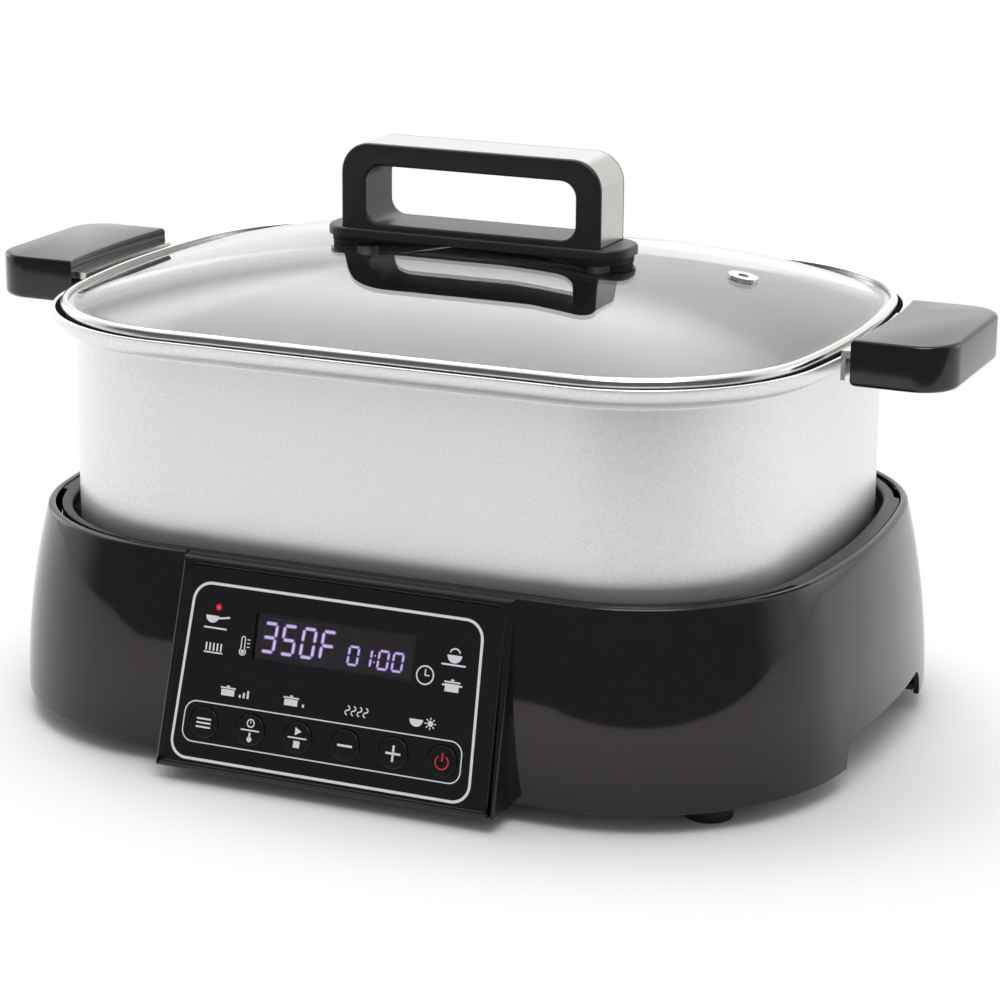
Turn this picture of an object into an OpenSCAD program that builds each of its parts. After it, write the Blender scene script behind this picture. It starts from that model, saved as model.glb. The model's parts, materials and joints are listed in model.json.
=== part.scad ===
// Electric skillet: a powered base with a tilted front panel, a lift-out pot with two side grips
// and a lift-off glass lid. Millimetres, +Z up, table at z = 0, panel facing -Y.

/* [Outline] */
// length over the pot rim, without the grips
pot_l = 351.6; // [346:0.2:356]
// width over the pot rim
pot_w = 260; // [256:0.2:266]
// roundness of the outline: less gives bigger corners and rounder ends
bow_k = 3.6; // [3.5:0.1:3.7]
// how much further than the pot the base outline reaches at each end
base_extra = 2.2; // [1.6:0.1:2.8]

/* [Pot] */
// height of the rim above the table
rim_z = 178.2; // [174:0.2:182]
// height of the pot underside above the table
pot_z = 68; // [66:0.5:69]
// wall thickness
pot_wall = 1.6; // [1.4:0.1:1.8]
// floor thickness
pot_floor = 2.5; // [2:0.1:3]
// outer radius between floor and wall
pot_round = 18; // [16:0.5:20]
// reach of the rim flange beyond the wall
flange_w = 10; // [9.6:0.1:10.6]
// height of the rim flange
flange_h = 9; // [8.6:0.1:9.6]
// outer radius of the flange round
flange_r = 8.4; // [8:0.1:8.4]

/* [Pot grips] */
// reach of a grip beyond the rim
grip_l = 44.2; // [42:0.2:46]
// width of a grip along the rim
grip_w = 84; // [80:1:88]
// thickness of a grip
grip_t = 19.4; // [18.6:0.1:20.2]
// grip top above the rim
grip_rise = 8.7; // [8.2:0.1:9.2]
// air between rim and grip
grip_gap = 5.5; // [5:0.1:6]
// rounding of the outer grip corners
grip_round = 16; // [12:0.5:18]
// bracket sheet thickness at the rim
bracket_t = 2; // [1.6:0.1:2.4]
// bracket width along the rim
bracket_w = 76; // [70:1:78]
// how far the bracket hangs below the rim
bracket_drop = 9.2; // [8.6:0.1:9.8]
// thickness of the bracket tongue inside the grip
tongue_t = 3; // [2.6:0.1:3.4]
// reach of the tongue beyond the rim
tongue_l = 30; // [28:0.5:31]
// width of the tongue
tongue_w = 60; // [54:1:64]
// distance of the grip screws from the rim
grip_screw_in = 23; // [22:0.5:24]
// spacing of the two screws of a grip
grip_screw_gap = 40; // [36:1:44]
// grip screw shank radius
grip_screw_r = 2; // [1.8:0.1:2.2]
// grip screw head radius
grip_head_r = 4; // [3.6:0.1:4.2]
// grip screw head height
grip_head_h = 2.2; // [1.8:0.1:2.4]
// depth of the head below the grip underside
grip_sink = 0.8; // [0.6:0.1:1]
// length of grip screw above its head
grip_screw_l = 13.2; // [12.8:0.1:13.6]

/* [Lid] */
// inset of the steel band from the rim
band_inset = 3.8; // [3.5:0.1:4]
// height of the band leg that rests in the flange
band_leg = 4.1; // [3.8:0.1:4.4]
// thickness of that leg
band_leg_t = 1.1; // [1:0.05:1.1]
// thickness of the band around the glass
band_t = 1.4; // [1.3:0.1:1.6]
// how far the band covers the glass
band_cover = 4.4; // [4.2:0.1:4.8]
// chamfer on the upper outer band edge
band_cham = 2.2; // [1.8:0.1:2.4]
// radial play between glass edge and band
glass_play = 0.3; // [0.25:0.05:0.4]
// glass thickness
glass_t = 4; // [3.6:0.1:4.4]
// rise of the dome above the band
dome_h = 22.4; // [20:0.2:24]
// fullness of the dome, 2 is a plain bowl
dome_pow = 2.4; // [2.2:0.05:2.6]
// steam eyelet position along the lid
vent_x = 111.5; // [108:0.5:114]
// steam eyelet position across the lid
vent_y = 20.5; // [16:0.5:24]
// steam eyelet flange radius
vent_flange_r = 6.5; // [6:0.1:7]
// steam eyelet tube radius
vent_tube_r = 3.6; // [3.4:0.1:3.8]
// steam hole radius
vent_bore_r = 2.2; // [2:0.1:2.4]
// eyelet sheet thickness
vent_t = 1; // [0.8:0.1:1.2]
// play of the eyelet in the glass
vent_play = 0.3; // [0.25:0.05:0.4]

/* [Lid handle] */
// length of the handle loop
loop_l = 120; // [116:1:124]
// depth of the handle loop
loop_w = 27.7; // [26:0.1:29]
// height of the handle loop
loop_h = 37; // [34:0.5:40]
// outer corner radius of the loop
loop_r = 13; // [11:0.5:14]
// width of the two upright legs
leg_w = 11.4; // [11:0.1:12.5]
// thickness of the grip bar
bar_t = 9.4; // [8.6:0.1:10.4]
// thickness of the lower bar
sill_t = 2.4; // [2:0.1:3]
// inner corner radius of the loop
eye_r = 7; // [5:0.5:8]
// thickness of the steel trim strip
strip_t = 1.2; // [1:0.1:1.4]
// black edge left beside the strip
strip_edge = 1.7; // [1.4:0.1:2]
// length of the seat plate
seat_l = 140; // [136:1:144]
// depth of the seat plate
seat_w = 31; // [30:0.2:33]
// thickness of the seat plate
seat_t = 4.1; // [3.6:0.1:4.6]
// corner radius of the seat plate
seat_r = 13; // [11:0.5:14]
// gasket thickness over the middle of the dome
gasket_t = 0.7; // [0.6:0.05:0.9]
// inset of the gasket from the seat edge
gasket_in = 1.6; // [1.4:0.1:2]
// distance of the lid screws from the loop ends
lid_screw_edge = 6; // [5.8:0.1:6.5]
// lid screw shank radius
lid_screw_r = 2.1; // [2:0.1:2.2]
// lid screw head radius
lid_head_r = 4.6; // [4.4:0.1:5]
// lid screw head height
lid_head_h = 2.8; // [2.4:0.1:3]
// lid screw reach into the handle leg
lid_screw_in = 14; // [12:0.5:16]
// spare depth of the leg holes past their screws
lid_spare = 1; // [0.6:0.1:1.4]
// silicone washer radius under the glass
washer_r = 6; // [5.6:0.1:6.4]
// silicone washer thickness
washer_t = 1.4; // [1.2:0.1:1.6]
// play of the screws in glass and washer
screw_play = 0.3; // [0.25:0.05:0.4]

/* [Base] */
// height of the base top edge
base_top = 91.8; // [89:0.2:92]
// height of the lower skirt edge
base_edge = 9.5; // [9:0.1:10]
// skirt offset from the base outline at the top
skirt_top = 1.9; // [1.6:0.1:2.2]
// skirt offset from the base outline at the lower edge
skirt_low = 12.6; // [12:0.1:13.2]
// skirt wall thickness
skirt_t = 2.6; // [2.4:0.1:2.8]
// inset of the inner edge of the top lip
lip_in = 1.2; // [1:0.1:1.4]
// thickness of the top lip
lip_t = 2.4; // [2:0.1:2.8]
// half width of the hand hold in each end
arch_hw = 51.5; // [46:0.5:54]
// top of the hand hold above the table
arch_z = 22.5; // [20:0.5:24]
// corner radius of the hand hold
arch_r = 10; // [8:0.5:11]
// radial gap between pot wall and top ring
ring_gap = 3.3; // [3:0.1:3.6]
// thickness of the top ring
ring_t = 5.2; // [5:0.1:5.6]
// top ring below the base top edge
ring_sink = 0.6; // [0.4:0.1:0.8]
// width of the vent slots between ring and lip
slot_w = 2.4; // [2.2:0.1:2.6]
// share of a corner taken by a vent slot
slot_share = 0.8; // [0.6:0.05:0.9]

/* [Base floor] */
// tray thickness
tray_t = 2.5; // [2.2:0.1:2.8]
// tray above the lower skirt edge
tray_up = 1.5; // [1.2:0.1:1.8]
// play between tray and skirt
tray_play = 0.3; // [0.25:0.05:0.4]
// play between tray and panel housing at its sides
case_play = 1; // [0.6:0.1:1.4]
// wall of the hand pockets in the tray
pocket_t = 2; // [1.8:0.1:2.2]
// depth of a hand pocket from the end of the pot
pocket_in = 22; // [18:0.5:24]
// roof height of a hand pocket
pocket_z = 34; // [32:0.5:36]
// foot centre in from the end of the base outline
foot_end_in = 33; // [30:1:36]
// foot centre in from the side of the base outline
foot_side_in = 31; // [28:1:34]
// foot radius at the tray
foot_r = 10.5; // [9.5:0.1:11]
// taper of a foot towards the floor
foot_taper = 1; // [0.5:0.1:1.5]
// foot plug radius in the tray
foot_plug_r = 5; // [4.5:0.1:5.5]
// radius of the screw posts in the skirt
post_r = 5.5; // [5:0.1:6]
// turn of those posts about the corner centre, from the long axis
post_turn = 25; // [22:1:30]
// height of those posts
post_h = 25; // [22:0.5:27]
// gap bridged by the rib between post and skirt
post_gap = 3; // [2.6:0.1:3.4]
// rib thickness
rib_t = 3; // [2.6:0.1:3.4]
// how deep a rib reaches into the skirt wall
rib_in = 0.4; // [0.3:0.05:0.5]
// tray screw radius
tray_screw_r = 2; // [1.8:0.1:2.2]
// tray screw head radius
tray_head_r = 4; // [3.6:0.1:4.2]
// tray screw head height
tray_head_h = 1.4; // [1.2:0.1:1.4]
// tray screw reach above the tray
tray_screw_l = 14; // [12:0.5:16]
// rear cord entry height
cord_z = 30; // [28:0.5:32]
// rear cord entry offset from the middle
cord_x = 40; // [36:1:44]
// bore of the cord bushing
cord_r = 4; // [3.6:0.1:4.4]
// bushing nose radius
bushing_r = 6.8; // [6.4:0.1:7.2]
// bushing flange radius
bushing_flange_r = 10; // [9.4:0.1:10.6]
// bushing flange thickness
bushing_flange_t = 2.5; // [2:0.1:3]
// bushing nose length
bushing_nose = 3.6; // [3.4:0.1:3.8]

/* [Panel] */
// half width of the panel at its upper edge
panel_top_hw = 74.3; // [73:0.1:75]
// half width of the panel at its lower edge
panel_low_hw = 76.2; // [75.4:0.1:77]
// upper panel edge in front of the base outline
panel_top_out = 3.6; // [3.2:0.1:4.2]
// lower panel edge in front of the base outline
panel_low_out = 28.6; // [27:0.1:30]
// upper panel edge below the base top
panel_sink = 1; // [0.8:0.1:1.2]
// height of the lower panel edge
panel_low_z = 6.9; // [6.5:0.1:7.3]
// housing wall thickness
case_t = 2.6; // [2.4:0.1:2.8]
// visible frame around the fascia
frame_w = 3.6; // [3.4:0.1:4]
// fascia below the frame face
fascia_sink = 0.4; // [0.3:0.05:0.5]
// fascia thickness
fascia_t = 2; // [1.8:0.1:2.2]
// width of the ledge behind the fascia edge
ledge_w = 9; // [8.6:0.1:9.4]
// thickness of that ledge
ledge_t = 2.2; // [2:0.1:2.4]
// window centre along the panel
window_x = -1.7; // [-4:0.1:2]
// window centre up the panel
window_v = 15; // [13:0.1:17]
// window length
window_l = 71.6; // [68:0.1:74]
// window height
window_h = 19; // [18:0.1:20]
// margin of the display block inside the window
display_in = 1; // [0.6:0.1:1.4]
// gap between display block and window
display_gap = 0.4; // [0.3:0.05:0.5]
// status lamp position along the panel
lamp_x = -55.1; // [-57:0.1:-53]
// status lamp position up the panel
lamp_v = 24.2; // [22:0.1:26]
// status lamp radius
lamp_r = 1.5; // [1.3:0.1:1.7]
// play around the status lamp
lamp_play = 0.2; // [0.15:0.05:0.3]

/* [Buttons] */
// first button position along the panel
key_x = -55.4; // [-56:0.1:-54]
// button pitch
key_pitch = 21.4; // [21:0.1:21.6]
// button row position up the panel
key_v = -23.2; // [-24:0.1:-22]
// button cap radius
key_r = 6.3; // [6:0.1:6.5]
// play around a button cap
key_play = 0.4; // [0.35:0.05:0.5]
// button face above the fascia
key_rise = 0.3; // [0.2:0.05:0.4]
// button travel
key_travel = 0.7; // [0.5:0.05:0.8]
// radius of the collar that holds a button in
key_collar_r = 7.7; // [7.5:0.1:7.9]
// collar thickness
key_collar_t = 0.7; // [0.6:0.05:0.8]
// play between collar and fascia
key_seat = 0.1; // [0.08:0.01:0.15]
// stem radius
key_stem_r = 1.6; // [1.4:0.1:1.8]
// stem length below the collar
key_stem_l = 1.4; // [1.2:0.1:1.6]
// switch plunger below a pressed stem
switch_gap = 0.1; // [0.08:0.01:0.15]
// switch plunger radius
switch_pin_r = 1.7; // [1.5:0.1:1.9]
// switch plunger height
switch_pin_h = 0.4; // [0.3:0.05:0.5]
// switch body width
switch_w = 6; // [5.6:0.1:6.4]
// switch body height
switch_h = 2.8; // [2.6:0.1:3]
// circuit board thickness
board_t = 1.6; // [1.5:0.1:1.7]
// half length of the control board
board_hw = 70.5; // [70:0.1:70.8]
// upper edge of the control board
board_top_v = 31; // [30:0.2:32]
// lower edge of the control board
board_low_v = -33; // [-34:0.2:-32]
// half spacing of the board posts
board_post_x = 68.5; // [68.3:0.1:68.7]
// upper board post position
board_post_top = 26; // [25:0.2:27]
// lower board post position
board_post_low = -28; // [-29:0.2:-27]
// board post radius
board_post_r = 2.3; // [2.2:0.05:2.4]
// board screw radius
board_screw_r = 1.2; // [1.1:0.05:1.3]
// board screw head radius
board_head_r = 2; // [1.8:0.1:2.2]
// board screw head height
board_head_h = 1.2; // [1:0.1:1.3]
// board screw reach into the post
board_screw_l = 2.6; // [2.2:0.1:3]

/* [Heater] */
// radial gap between pot wall and liner wall
liner_gap = 4; // [3.8:0.1:4.4]
// liner sheet thickness
liner_t = 0.8; // [0.7:0.05:0.9]
// liner floor height
liner_z = 46; // [45:0.2:47]
// liner corner radius
liner_r = 8; // [7:0.5:10]
// liner flange width
liner_flange = 3.5; // [3:0.1:4]
// heater plate thickness
plate_t = 8; // [7.5:0.1:8.5]
// inset of the heater plate from the pot rim outline
plate_in = 34; // [32:0.5:36]
// inset of the heater tube from the pot rim outline
tube_in = 62; // [60:0.5:63]
// heater tube radius
tube_r = 4; // [3.8:0.1:4.2]
// play between tube and its groove
tube_play = 0.3; // [0.25:0.05:0.4]
// half gap between the tube ends
tube_gap = 12; // [10:0.5:14]
// terminal pin radius
pin_r = 2.6; // [2.4:0.1:2.8]
// terminal pin end height
pin_z = 40; // [39:0.2:41]
// ceramic sleeve wall
sleeve_t = 2.4; // [2:0.1:2.8]
// ceramic sleeve reach below and above the liner floor
sleeve_h = 3; // [2.6:0.1:3.4]
// half spacing of the plate posts along the plate
stud_x = 122; // [120:1:124]
// half spacing of the plate posts across the plate
stud_y = 52; // [50:1:54]
// plate post radius
stud_r = 4.5; // [4:0.1:5]
// plate screw radius
stud_screw_r = 2; // [1.8:0.1:2.2]
// plate screw head radius
stud_head_r = 3.6; // [3.4:0.1:4]
// plate screw head height
stud_head_h = 2; // [1.8:0.1:2.2]
// plate screw reach into the plate
stud_screw_in = 4.5; // [4:0.1:5]
// play of the plate screws
stud_play = 0.1; // [0.1:0.05:0.15]
// spare depth of the plate holes past their screws
stud_spare = 0.5; // [0.4:0.1:0.8]

/* [Sensor] */
// sensor cap radius
cap_r = 11; // [10.5:0.1:11.5]
// sensor cap thickness
cap_t = 3.5; // [3.2:0.1:3.8]
// play between cap and heater plate
cap_play = 2; // [1.6:0.1:2.4]
// sensor travel
cap_travel = 2.5; // [2:0.1:2.8]
// sensor stem radius
cap_stem_r = 5; // [4.8:0.1:5.2]
// play of the stem in its guide
cap_stem_play = 0.4; // [0.35:0.05:0.5]
// stem end above the liner floor
cap_stem_z = 4; // [3.6:0.1:4.4]
// guide wall thickness
guide_t = 2.6; // [2.4:0.1:3]
// guide height above the liner floor
guide_h = 9; // [8.6:0.1:9.2]
// spring wire radius
coil_r = 0.8; // [0.7:0.05:0.9]
// spring mean radius
coil_mean = 7.2; // [7:0.1:7.4]
// turns of the spring
coils = 6; // [6:1:7]
// play between spring and cap
coil_play = 0.1; // [0.1:0.05:0.2]

/* [Electronics] */
// power board length
pcb_l = 110; // [104:1:116]
// power board width
pcb_w = 80; // [74:1:84]
// power board centre along the base
pcb_x = -52; // [-56:1:-48]
// power board centre across the base
pcb_y = 20; // [16:1:24]
// power board above the tray
pcb_up = 6.5; // [6:0.1:7]
// power board post radius
pcb_post_r = 3; // [2.8:0.1:3.2]
// power board post inset from its corner
pcb_post_in = 6; // [5.5:0.1:6.5]
// relay length
relay_l = 20; // [18:0.5:24]
// relay width
relay_w = 16; // [14:0.5:18]
// relay height
relay_h = 16; // [14:0.5:17]
// relay corner along the board from its middle
relay_x = 17.5; // [12:0.5:24]
// relay corner across the board from its middle
relay_y = -28; // [-34:0.5:-24]
// transformer length
coil_l = 30; // [26:0.5:34]
// transformer width
coil_w = 26; // [24:0.5:30]
// transformer height
coil_h = 18; // [16:0.5:19]
// transformer corner along the board from its middle
coil_x = -42.5; // [-44:0.5:-36]
// transformer corner across the board from its middle
coil_y = -13; // [-16:0.5:-10]
// capacitor radius
cap_can_r = 5; // [4.5:0.1:5.5]
// capacitor height
cap_can_h = 14; // [12:0.5:15]
// capacitor pitch
cap_can_gap = 14; // [12.5:0.5:16]
// first capacitor along the board from its middle
cap_can_x = 13.8; // [8:0.2:18]
// capacitors across the board from its middle
cap_can_y = 20; // [10:0.5:28]
// terminal block length
block_l = 32; // [30:0.5:36]
// terminal block width
block_w = 14; // [12:0.5:16]
// terminal block height
block_h = 13; // [12:0.5:15]
// front of the terminal block behind the pot axis
block_y = 88; // [84:0.5:92]
// terminal bore radius
block_bore_r = 2.4; // [2.2:0.1:2.6]
// terminal bores
block_n = 3; // [2:1:3]
// thermal fuse radius
fuse_r = 2; // [1.8:0.1:2.2]
// thermal fuse length
fuse_l = 12; // [11:0.5:14]
// thermal fuse clamp thickness
fuse_clip_t = 0.8; // [0.7:0.05:0.9]
// thermal fuse clamp length
fuse_clip_l = 6; // [5:0.5:8]
// thermal fuse clamp width
fuse_clip_w = 8; // [7:0.5:10]
// thermal fuse distance from the middle
fuse_y = -34; // [-38:1:-30]

/* [Hidden] */
$fn = 96;

// An outline is a half length, a half width and a roundness. Its straight sides run into corner
// rounds, and these into bowed ends. The centres of corner and end are the ends of the long side
// of a right triangle with whole sides, so that both arcs meet with the same direction.
tri = [84, 13, 85];
pot_o = [pot_l/2, pot_w/2, bow_k];
base_o = [pot_l/2 + base_extra, pot_w/2, bow_k];
corner_r = corner_of_r(pot_o);
end_r = end_of_r(pot_o);
foot_x = base_o[0] - foot_end_in;
foot_y = base_o[1] - foot_side_in;
panel_top_y = base_o[1] + panel_top_out;
panel_low_y = base_o[1] + panel_low_out;
rear_y = base_o[1] + skirt_low;
axis_y = (panel_low_y - rear_y)/2;
// a length past the whole part, a join overlap and the overshoot of a cut
far = 500;
eps = 0.01;
over = 1;
slab_band = 40;

// pot and lid levels
ledge_z = rim_z - flange_h + pot_wall;
glass_z = ledge_z + band_leg + band_t;
glass_edge_z = glass_z + glass_t;
apex_z = glass_edge_z + dome_h;
glass_in = band_inset + band_t + glass_play;
band_in = band_inset + band_t + band_cover;
seat_z = apex_z + gasket_t;
loop_z = seat_z + seat_t;
grip_z = rim_z + grip_rise - grip_t;
end_cx = end_of_x(pot_o);
grip_end = pot_o[0] + grip_l;
grip_screw_x = pot_o[0] + grip_screw_in;
dome_a = pot_o[0] - band_in;
gasket_n = 8;
gasket_lift = gasket_t/4;
lid_screw_x = loop_l/2 - lid_screw_edge;
washer_z = glass_z + dome_h*(1 - pow((lid_screw_x + washer_r)/dome_a, dome_pow));

// base levels
ring_z = base_top - ring_sink - ring_t;
tray_z = base_edge + tray_up;
tray_top = tray_z + tray_t;
plate_z = pot_z - plate_t;
liner_top = liner_z + liner_t;
liner_o = liner_gap - flange_w;
rib_at = corner_r + skirt_low - skirt_t + rib_in;
post_at = rib_at - post_r - post_gap;
end_a = atan2(tri[1], tri[0]);
corner_mid = (end_a + 90)/2;

// panel frame and levels behind the panel face
panel_top_z = base_top - panel_sink;
panel_tilt = atan2(panel_low_y - panel_top_y, panel_top_z - panel_low_z);
panel_h = norm([panel_low_y - panel_top_y, panel_top_z - panel_low_z]);
fascia_w = -fascia_sink - fascia_t;
ledge_back = fascia_w - ledge_t;
collar_w = fascia_w - key_seat - key_collar_t;
stem_w = collar_w - key_stem_l;
pin_w = stem_w - key_travel - switch_gap;
board_w = pin_w - switch_pin_h - switch_h - board_t;
board_face = board_w + board_t;

// corner radius, end radius, corner centre and end centre of an outline
function corner_of_r(o) = o[1] - tri[1]*o[2];
function end_of_r(o) = corner_of_r(o) + tri[2]*o[2];
function end_of_x(o) = o[0] - end_of_r(o);
function corner_of(o) = [end_of_x(o) + tri[0]*o[2], tri[1]*o[2]];
function polar(r, a) = [r*cos(a), r*sin(a)];

// points of one quarter of an outline moved out by d, then of the whole outline
function quarter(o, d, n) = concat(
    [for (i = [1:2]) [end_of_x(o), 0] + polar(end_of_r(o) + d, end_a*i/3)],
    [for (i = [0:n]) corner_of(o) + polar(corner_of_r(o) + d, end_a + (90 - end_a)*i/n)]);
function flip(p) = [for (i = [len(p) - 1:-1:0]) p[i]];
function half(o, d, n) = let (q = quarter(o, d, n))
    concat(q, [for (p = flip(q)) [-p[0], p[1]]], [[-o[0] - d, 0]]);
function loop_pts(o, d, n) = let (h = half(o, d, n)) concat(h, [for (p = h) -p]);

// a profile drawn as offset and height, carried once round an outline
module sweep(o) {
    c = corner_of(o);
    t = c + far/tri[0]*[tri[0], tri[1]];
    for (m = [0, 1]) mirror([m, 0, 0]) intersection() {
        translate([end_of_x(o), 0, 0]) rotate_extrude($fn = 360) translate([end_of_r(o), 0]) children();
        linear_extrude(far) polygon([c, t, [t[0], -t[1]], [c[0], -c[1]]]);
    }
    for (m = [0, 1]) mirror([0, m, 0]) translate([-c[0], o[1], 0]) rotate([90, 0, 90])
        linear_extrude(2*c[0]) children();
    for (i = [0, 1], j = [0, 1]) mirror([i, 0, 0]) mirror([0, j, 0]) intersection() {
        translate([c[0], c[1], 0]) rotate_extrude($fn = 180) translate([corner_of_r(o), 0]) children();
        linear_extrude(far) polygon([c, t, [t[0], far], [c[0], far]]);
    }
}

// a flat plate with the outline moved out by d
module slab(o, d, z0, z1) {
    sweep(o) translate([d - slab_band, z0]) square([slab_band, z1 - z0]);
    translate([0, 0, z0]) linear_extrude(z1 - z0)
        polygon(loop_pts(o, d - slab_band/2, 2));
}

module on_axis() { translate([0, axis_y, 0]) children(); }
module on_panel() {
    translate([0, axis_y - (panel_top_y + panel_low_y)/2, (panel_top_z + panel_low_z)/2])
        rotate([90 - panel_tilt, 0, 0]) children();
}
module at_four(x, y) { for (i = [-1, 1], j = [-1, 1]) translate([i*x, j*y, 0]) children(); }
module rounded(l, w, r) {
    square([l, w - 2*r], center = true);
    square([l - 2*r, w], center = true);
    for (i = [-1, 1], j = [-1, 1]) translate([i*(l/2 - r), j*(w/2 - r)]) circle(r);
}
// a bar standing on its lower edge with two rounded upper corners
module arch(hw, h, r) {
    translate([-hw, 0]) square([2*hw, h - r]);
    translate([-hw + r, 0]) square([2*(hw - r), h]);
    for (i = [-1, 1]) translate([i*(hw - r), h - r]) circle(r);
}

// skirt shape from the top edge (u = 0) to the lower edge (u = 1)
skirt_n = 5;
skirt_step = (base_top - base_edge)/skirt_n;
function skirt_d(u) = skirt_top + (skirt_low - skirt_top)*(2*u - u*u);
function skirt_z(u) = base_top - u*(base_top - base_edge);
// skirt offset at a height, on the straight steps that the skirt is drawn with
function skirt_at(z) = let (k = (base_top - z)/skirt_step, i = floor(k))
    skirt_d(i/skirt_n) + (k - i)*(skirt_d((i + 1)/skirt_n) - skirt_d(i/skirt_n));
module skirt_profile() {
    polygon(concat([for (i = [0:skirt_n]) [skirt_d(i/skirt_n), skirt_z(i/skirt_n)]],
        [for (i = [skirt_n:-1:0]) [skirt_d(i/skirt_n) - skirt_t, skirt_z(i/skirt_n)]]));
    translate([-lip_in, base_top - lip_t]) square([skirt_top + lip_in - skirt_t/4, lip_t]);
}
// the part of the front that belongs to the panel, seen from the front
module panel_zone() {
    s = (panel_low_hw - panel_top_hw)/(panel_top_z - panel_low_z);
    up = panel_top_hw - s*(far - panel_top_z);
    dn = panel_low_hw + s*panel_low_z;
    rotate([90, 0, 0]) linear_extrude(far)
        polygon([[-dn, 0], [dn, 0], [up, far], [-up, far]]);
}
module base_shell() color([0.09, 0.08, 0.09]) on_axis() difference() {
    union() {
        sweep(base_o) skirt_profile();
        corner_each(base_o, post_at) translate([0, 0, tray_top]) cylinder(r = post_r, h = post_h);
        corner_each(base_o, post_at) translate([0, -rib_t/2, tray_top])
            cube([rib_at - post_at, rib_t, post_h]);
    }
    panel_zone();
    for (m = [0, 1]) mirror([m, 0, 0]) translate([pot_o[0] - pocket_in, 0, 0])
        rotate([90, 0, 90]) linear_extrude(far) arch(arch_hw, arch_z, arch_r);
    corner_each(base_o, post_at) cylinder(r = tray_screw_r, h = tray_top + tray_screw_l + over);
    translate([cord_x, base_o[1], cord_z]) rotate([-90, 0, 0]) cylinder(r = bushing_r, h = far);
}
// places something on each rounded corner at a distance from its centre
module corner_each(o, at) {
    c = corner_of(o);
    for (i = [-1, 1], j = [-1, 1]) translate([i*c[0], j*c[1], 0])
        rotate(atan2(j*sin(post_turn), i*cos(post_turn))) translate([at, 0, 0]) children();
}

module top_ring() color([0.13, 0.13, 0.14]) on_axis() difference() {
    slab(base_o, -lip_in, ring_z, ring_z + ring_t);
    slab(pot_o, ring_gap - flange_w, ring_z - over, base_top);
    for (turn = [0, 180], m = [0, 1]) rotate(turn) mirror([m, 0, 0]) corner_slot();
}
module corner_slot() {
    c = corner_of(base_o);
    a = 90 - end_a;
    translate([c[0], c[1], 0]) rotate(corner_mid - a*slot_share/2)
        rotate_extrude(angle = a*slot_share) translate([corner_r - lip_in - slot_w, 0])
        square([slot_w + over, base_top]);
}

module base_tray() color([0.14, 0.14, 0.15]) on_axis() difference() {
    union() {
        slab(base_o, skirt_at(tray_top) - skirt_t - tray_play, tray_z, tray_top);
        for (m = [0, 1]) mirror([m, 0, 0]) translate([pot_o[0] - pocket_in, -arch_hw - pocket_t, tray_z])
            cube([base_o[0] - pot_o[0] + pocket_in + pocket_t, 2*(arch_hw + pocket_t), pocket_z - tray_z]);
        translate([pcb_x, pcb_y, tray_z]) at_four(pcb_l/2 - pcb_post_in, pcb_w/2 - pcb_post_in)
            cylinder(r = pcb_post_r, h = tray_t + pcb_up);
    }
    for (m = [0, 1]) mirror([m, 0, 0]) translate([pot_o[0] - pocket_in + pocket_t, -arch_hw, 0])
        cube([far, 2*arch_hw, pocket_z - pocket_t]);
    corner_each(base_o, post_at) cylinder(r = tray_screw_r + screw_play, h = far, center = true);
    at_four(foot_x, foot_y) cylinder(r = foot_plug_r, h = far);
    panel_back();
}
// room for the panel case in front of the tray
module panel_back() {
    translate([-panel_low_hw - case_play, -far - base_o[1] + lip_in, 0])
        cube([2*(panel_low_hw + case_play), far, far]);
}
module tray_screws() color([0.6, 0.6, 0.62]) on_axis() corner_each(base_o, post_at) {
    translate([0, 0, tray_z - tray_head_h]) cylinder(r = tray_head_r, h = tray_head_h);
    translate([0, 0, tray_z - eps]) cylinder(r = tray_screw_r, h = tray_t + tray_screw_l);
}
module feet() color([0.06, 0.06, 0.06]) on_axis() at_four(foot_x, foot_y) {
    cylinder(r1 = foot_r - foot_taper, r2 = foot_r, h = tray_z);
    cylinder(r = foot_plug_r, h = tray_top);
}
module cord_bushing() color([0.05, 0.05, 0.05]) on_axis() {
    inner = base_o[1] + skirt_at(cord_z + bushing_flange_r) - skirt_t - tray_play;
    translate([cord_x, inner, cord_z]) rotate([-90, 0, 0]) difference() {
        union() {
            translate([0, 0, -bushing_flange_t]) cylinder(r = bushing_flange_r, h = bushing_flange_t);
            cylinder(r = bushing_r, h = bushing_nose);
        }
        translate([0, 0, -far/2]) cylinder(r = cord_r, h = far);
    }
}

module well_liner() color([0.7, 0.7, 0.72]) on_axis() difference() {
    union() {
        sweep(pot_o) {
            translate([liner_o, liner_top + liner_r - liner_t])
                square([liner_t, ring_z - liner_top - liner_r + liner_t]);
            translate([liner_o, ring_z - liner_t]) square([liner_flange + liner_t, liner_t]);
            translate([liner_o + liner_t - liner_r, liner_z + liner_r]) quarter_ring(liner_r, liner_t);
            translate([liner_o + liner_t - slab_band, liner_z]) square([slab_band - liner_r, liner_t]);
        }
        translate([0, 0, liner_z]) linear_extrude(liner_t)
            polygon(loop_pts(pot_o, liner_o - slab_band/2, 2));
    }
    at_four(stud_x, stud_y) cylinder(r = stud_screw_r + stud_play, h = far);
    for (i = [-1, 1]) translate([i*tube_gap, pot_o[1] - tube_in, 0])
        cylinder(r = pin_r + sleeve_t, h = far);
}
module heater_plate() color([0.75, 0.75, 0.76]) on_axis() difference() {
    slab(pot_o, -plate_in, plate_z, pot_z);
    sweep(pot_o) translate([-tube_in - tube_r - tube_play, plate_z - over])
        square([2*(tube_r + tube_play), tube_r + tube_play + over]);
    cylinder(r = cap_r + cap_play, h = far);
    at_four(stud_x, stud_y) translate([0, 0, plate_z - over])
        cylinder(r = stud_screw_r + stud_play, h = stud_screw_in + stud_spare + over);
}
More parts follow.
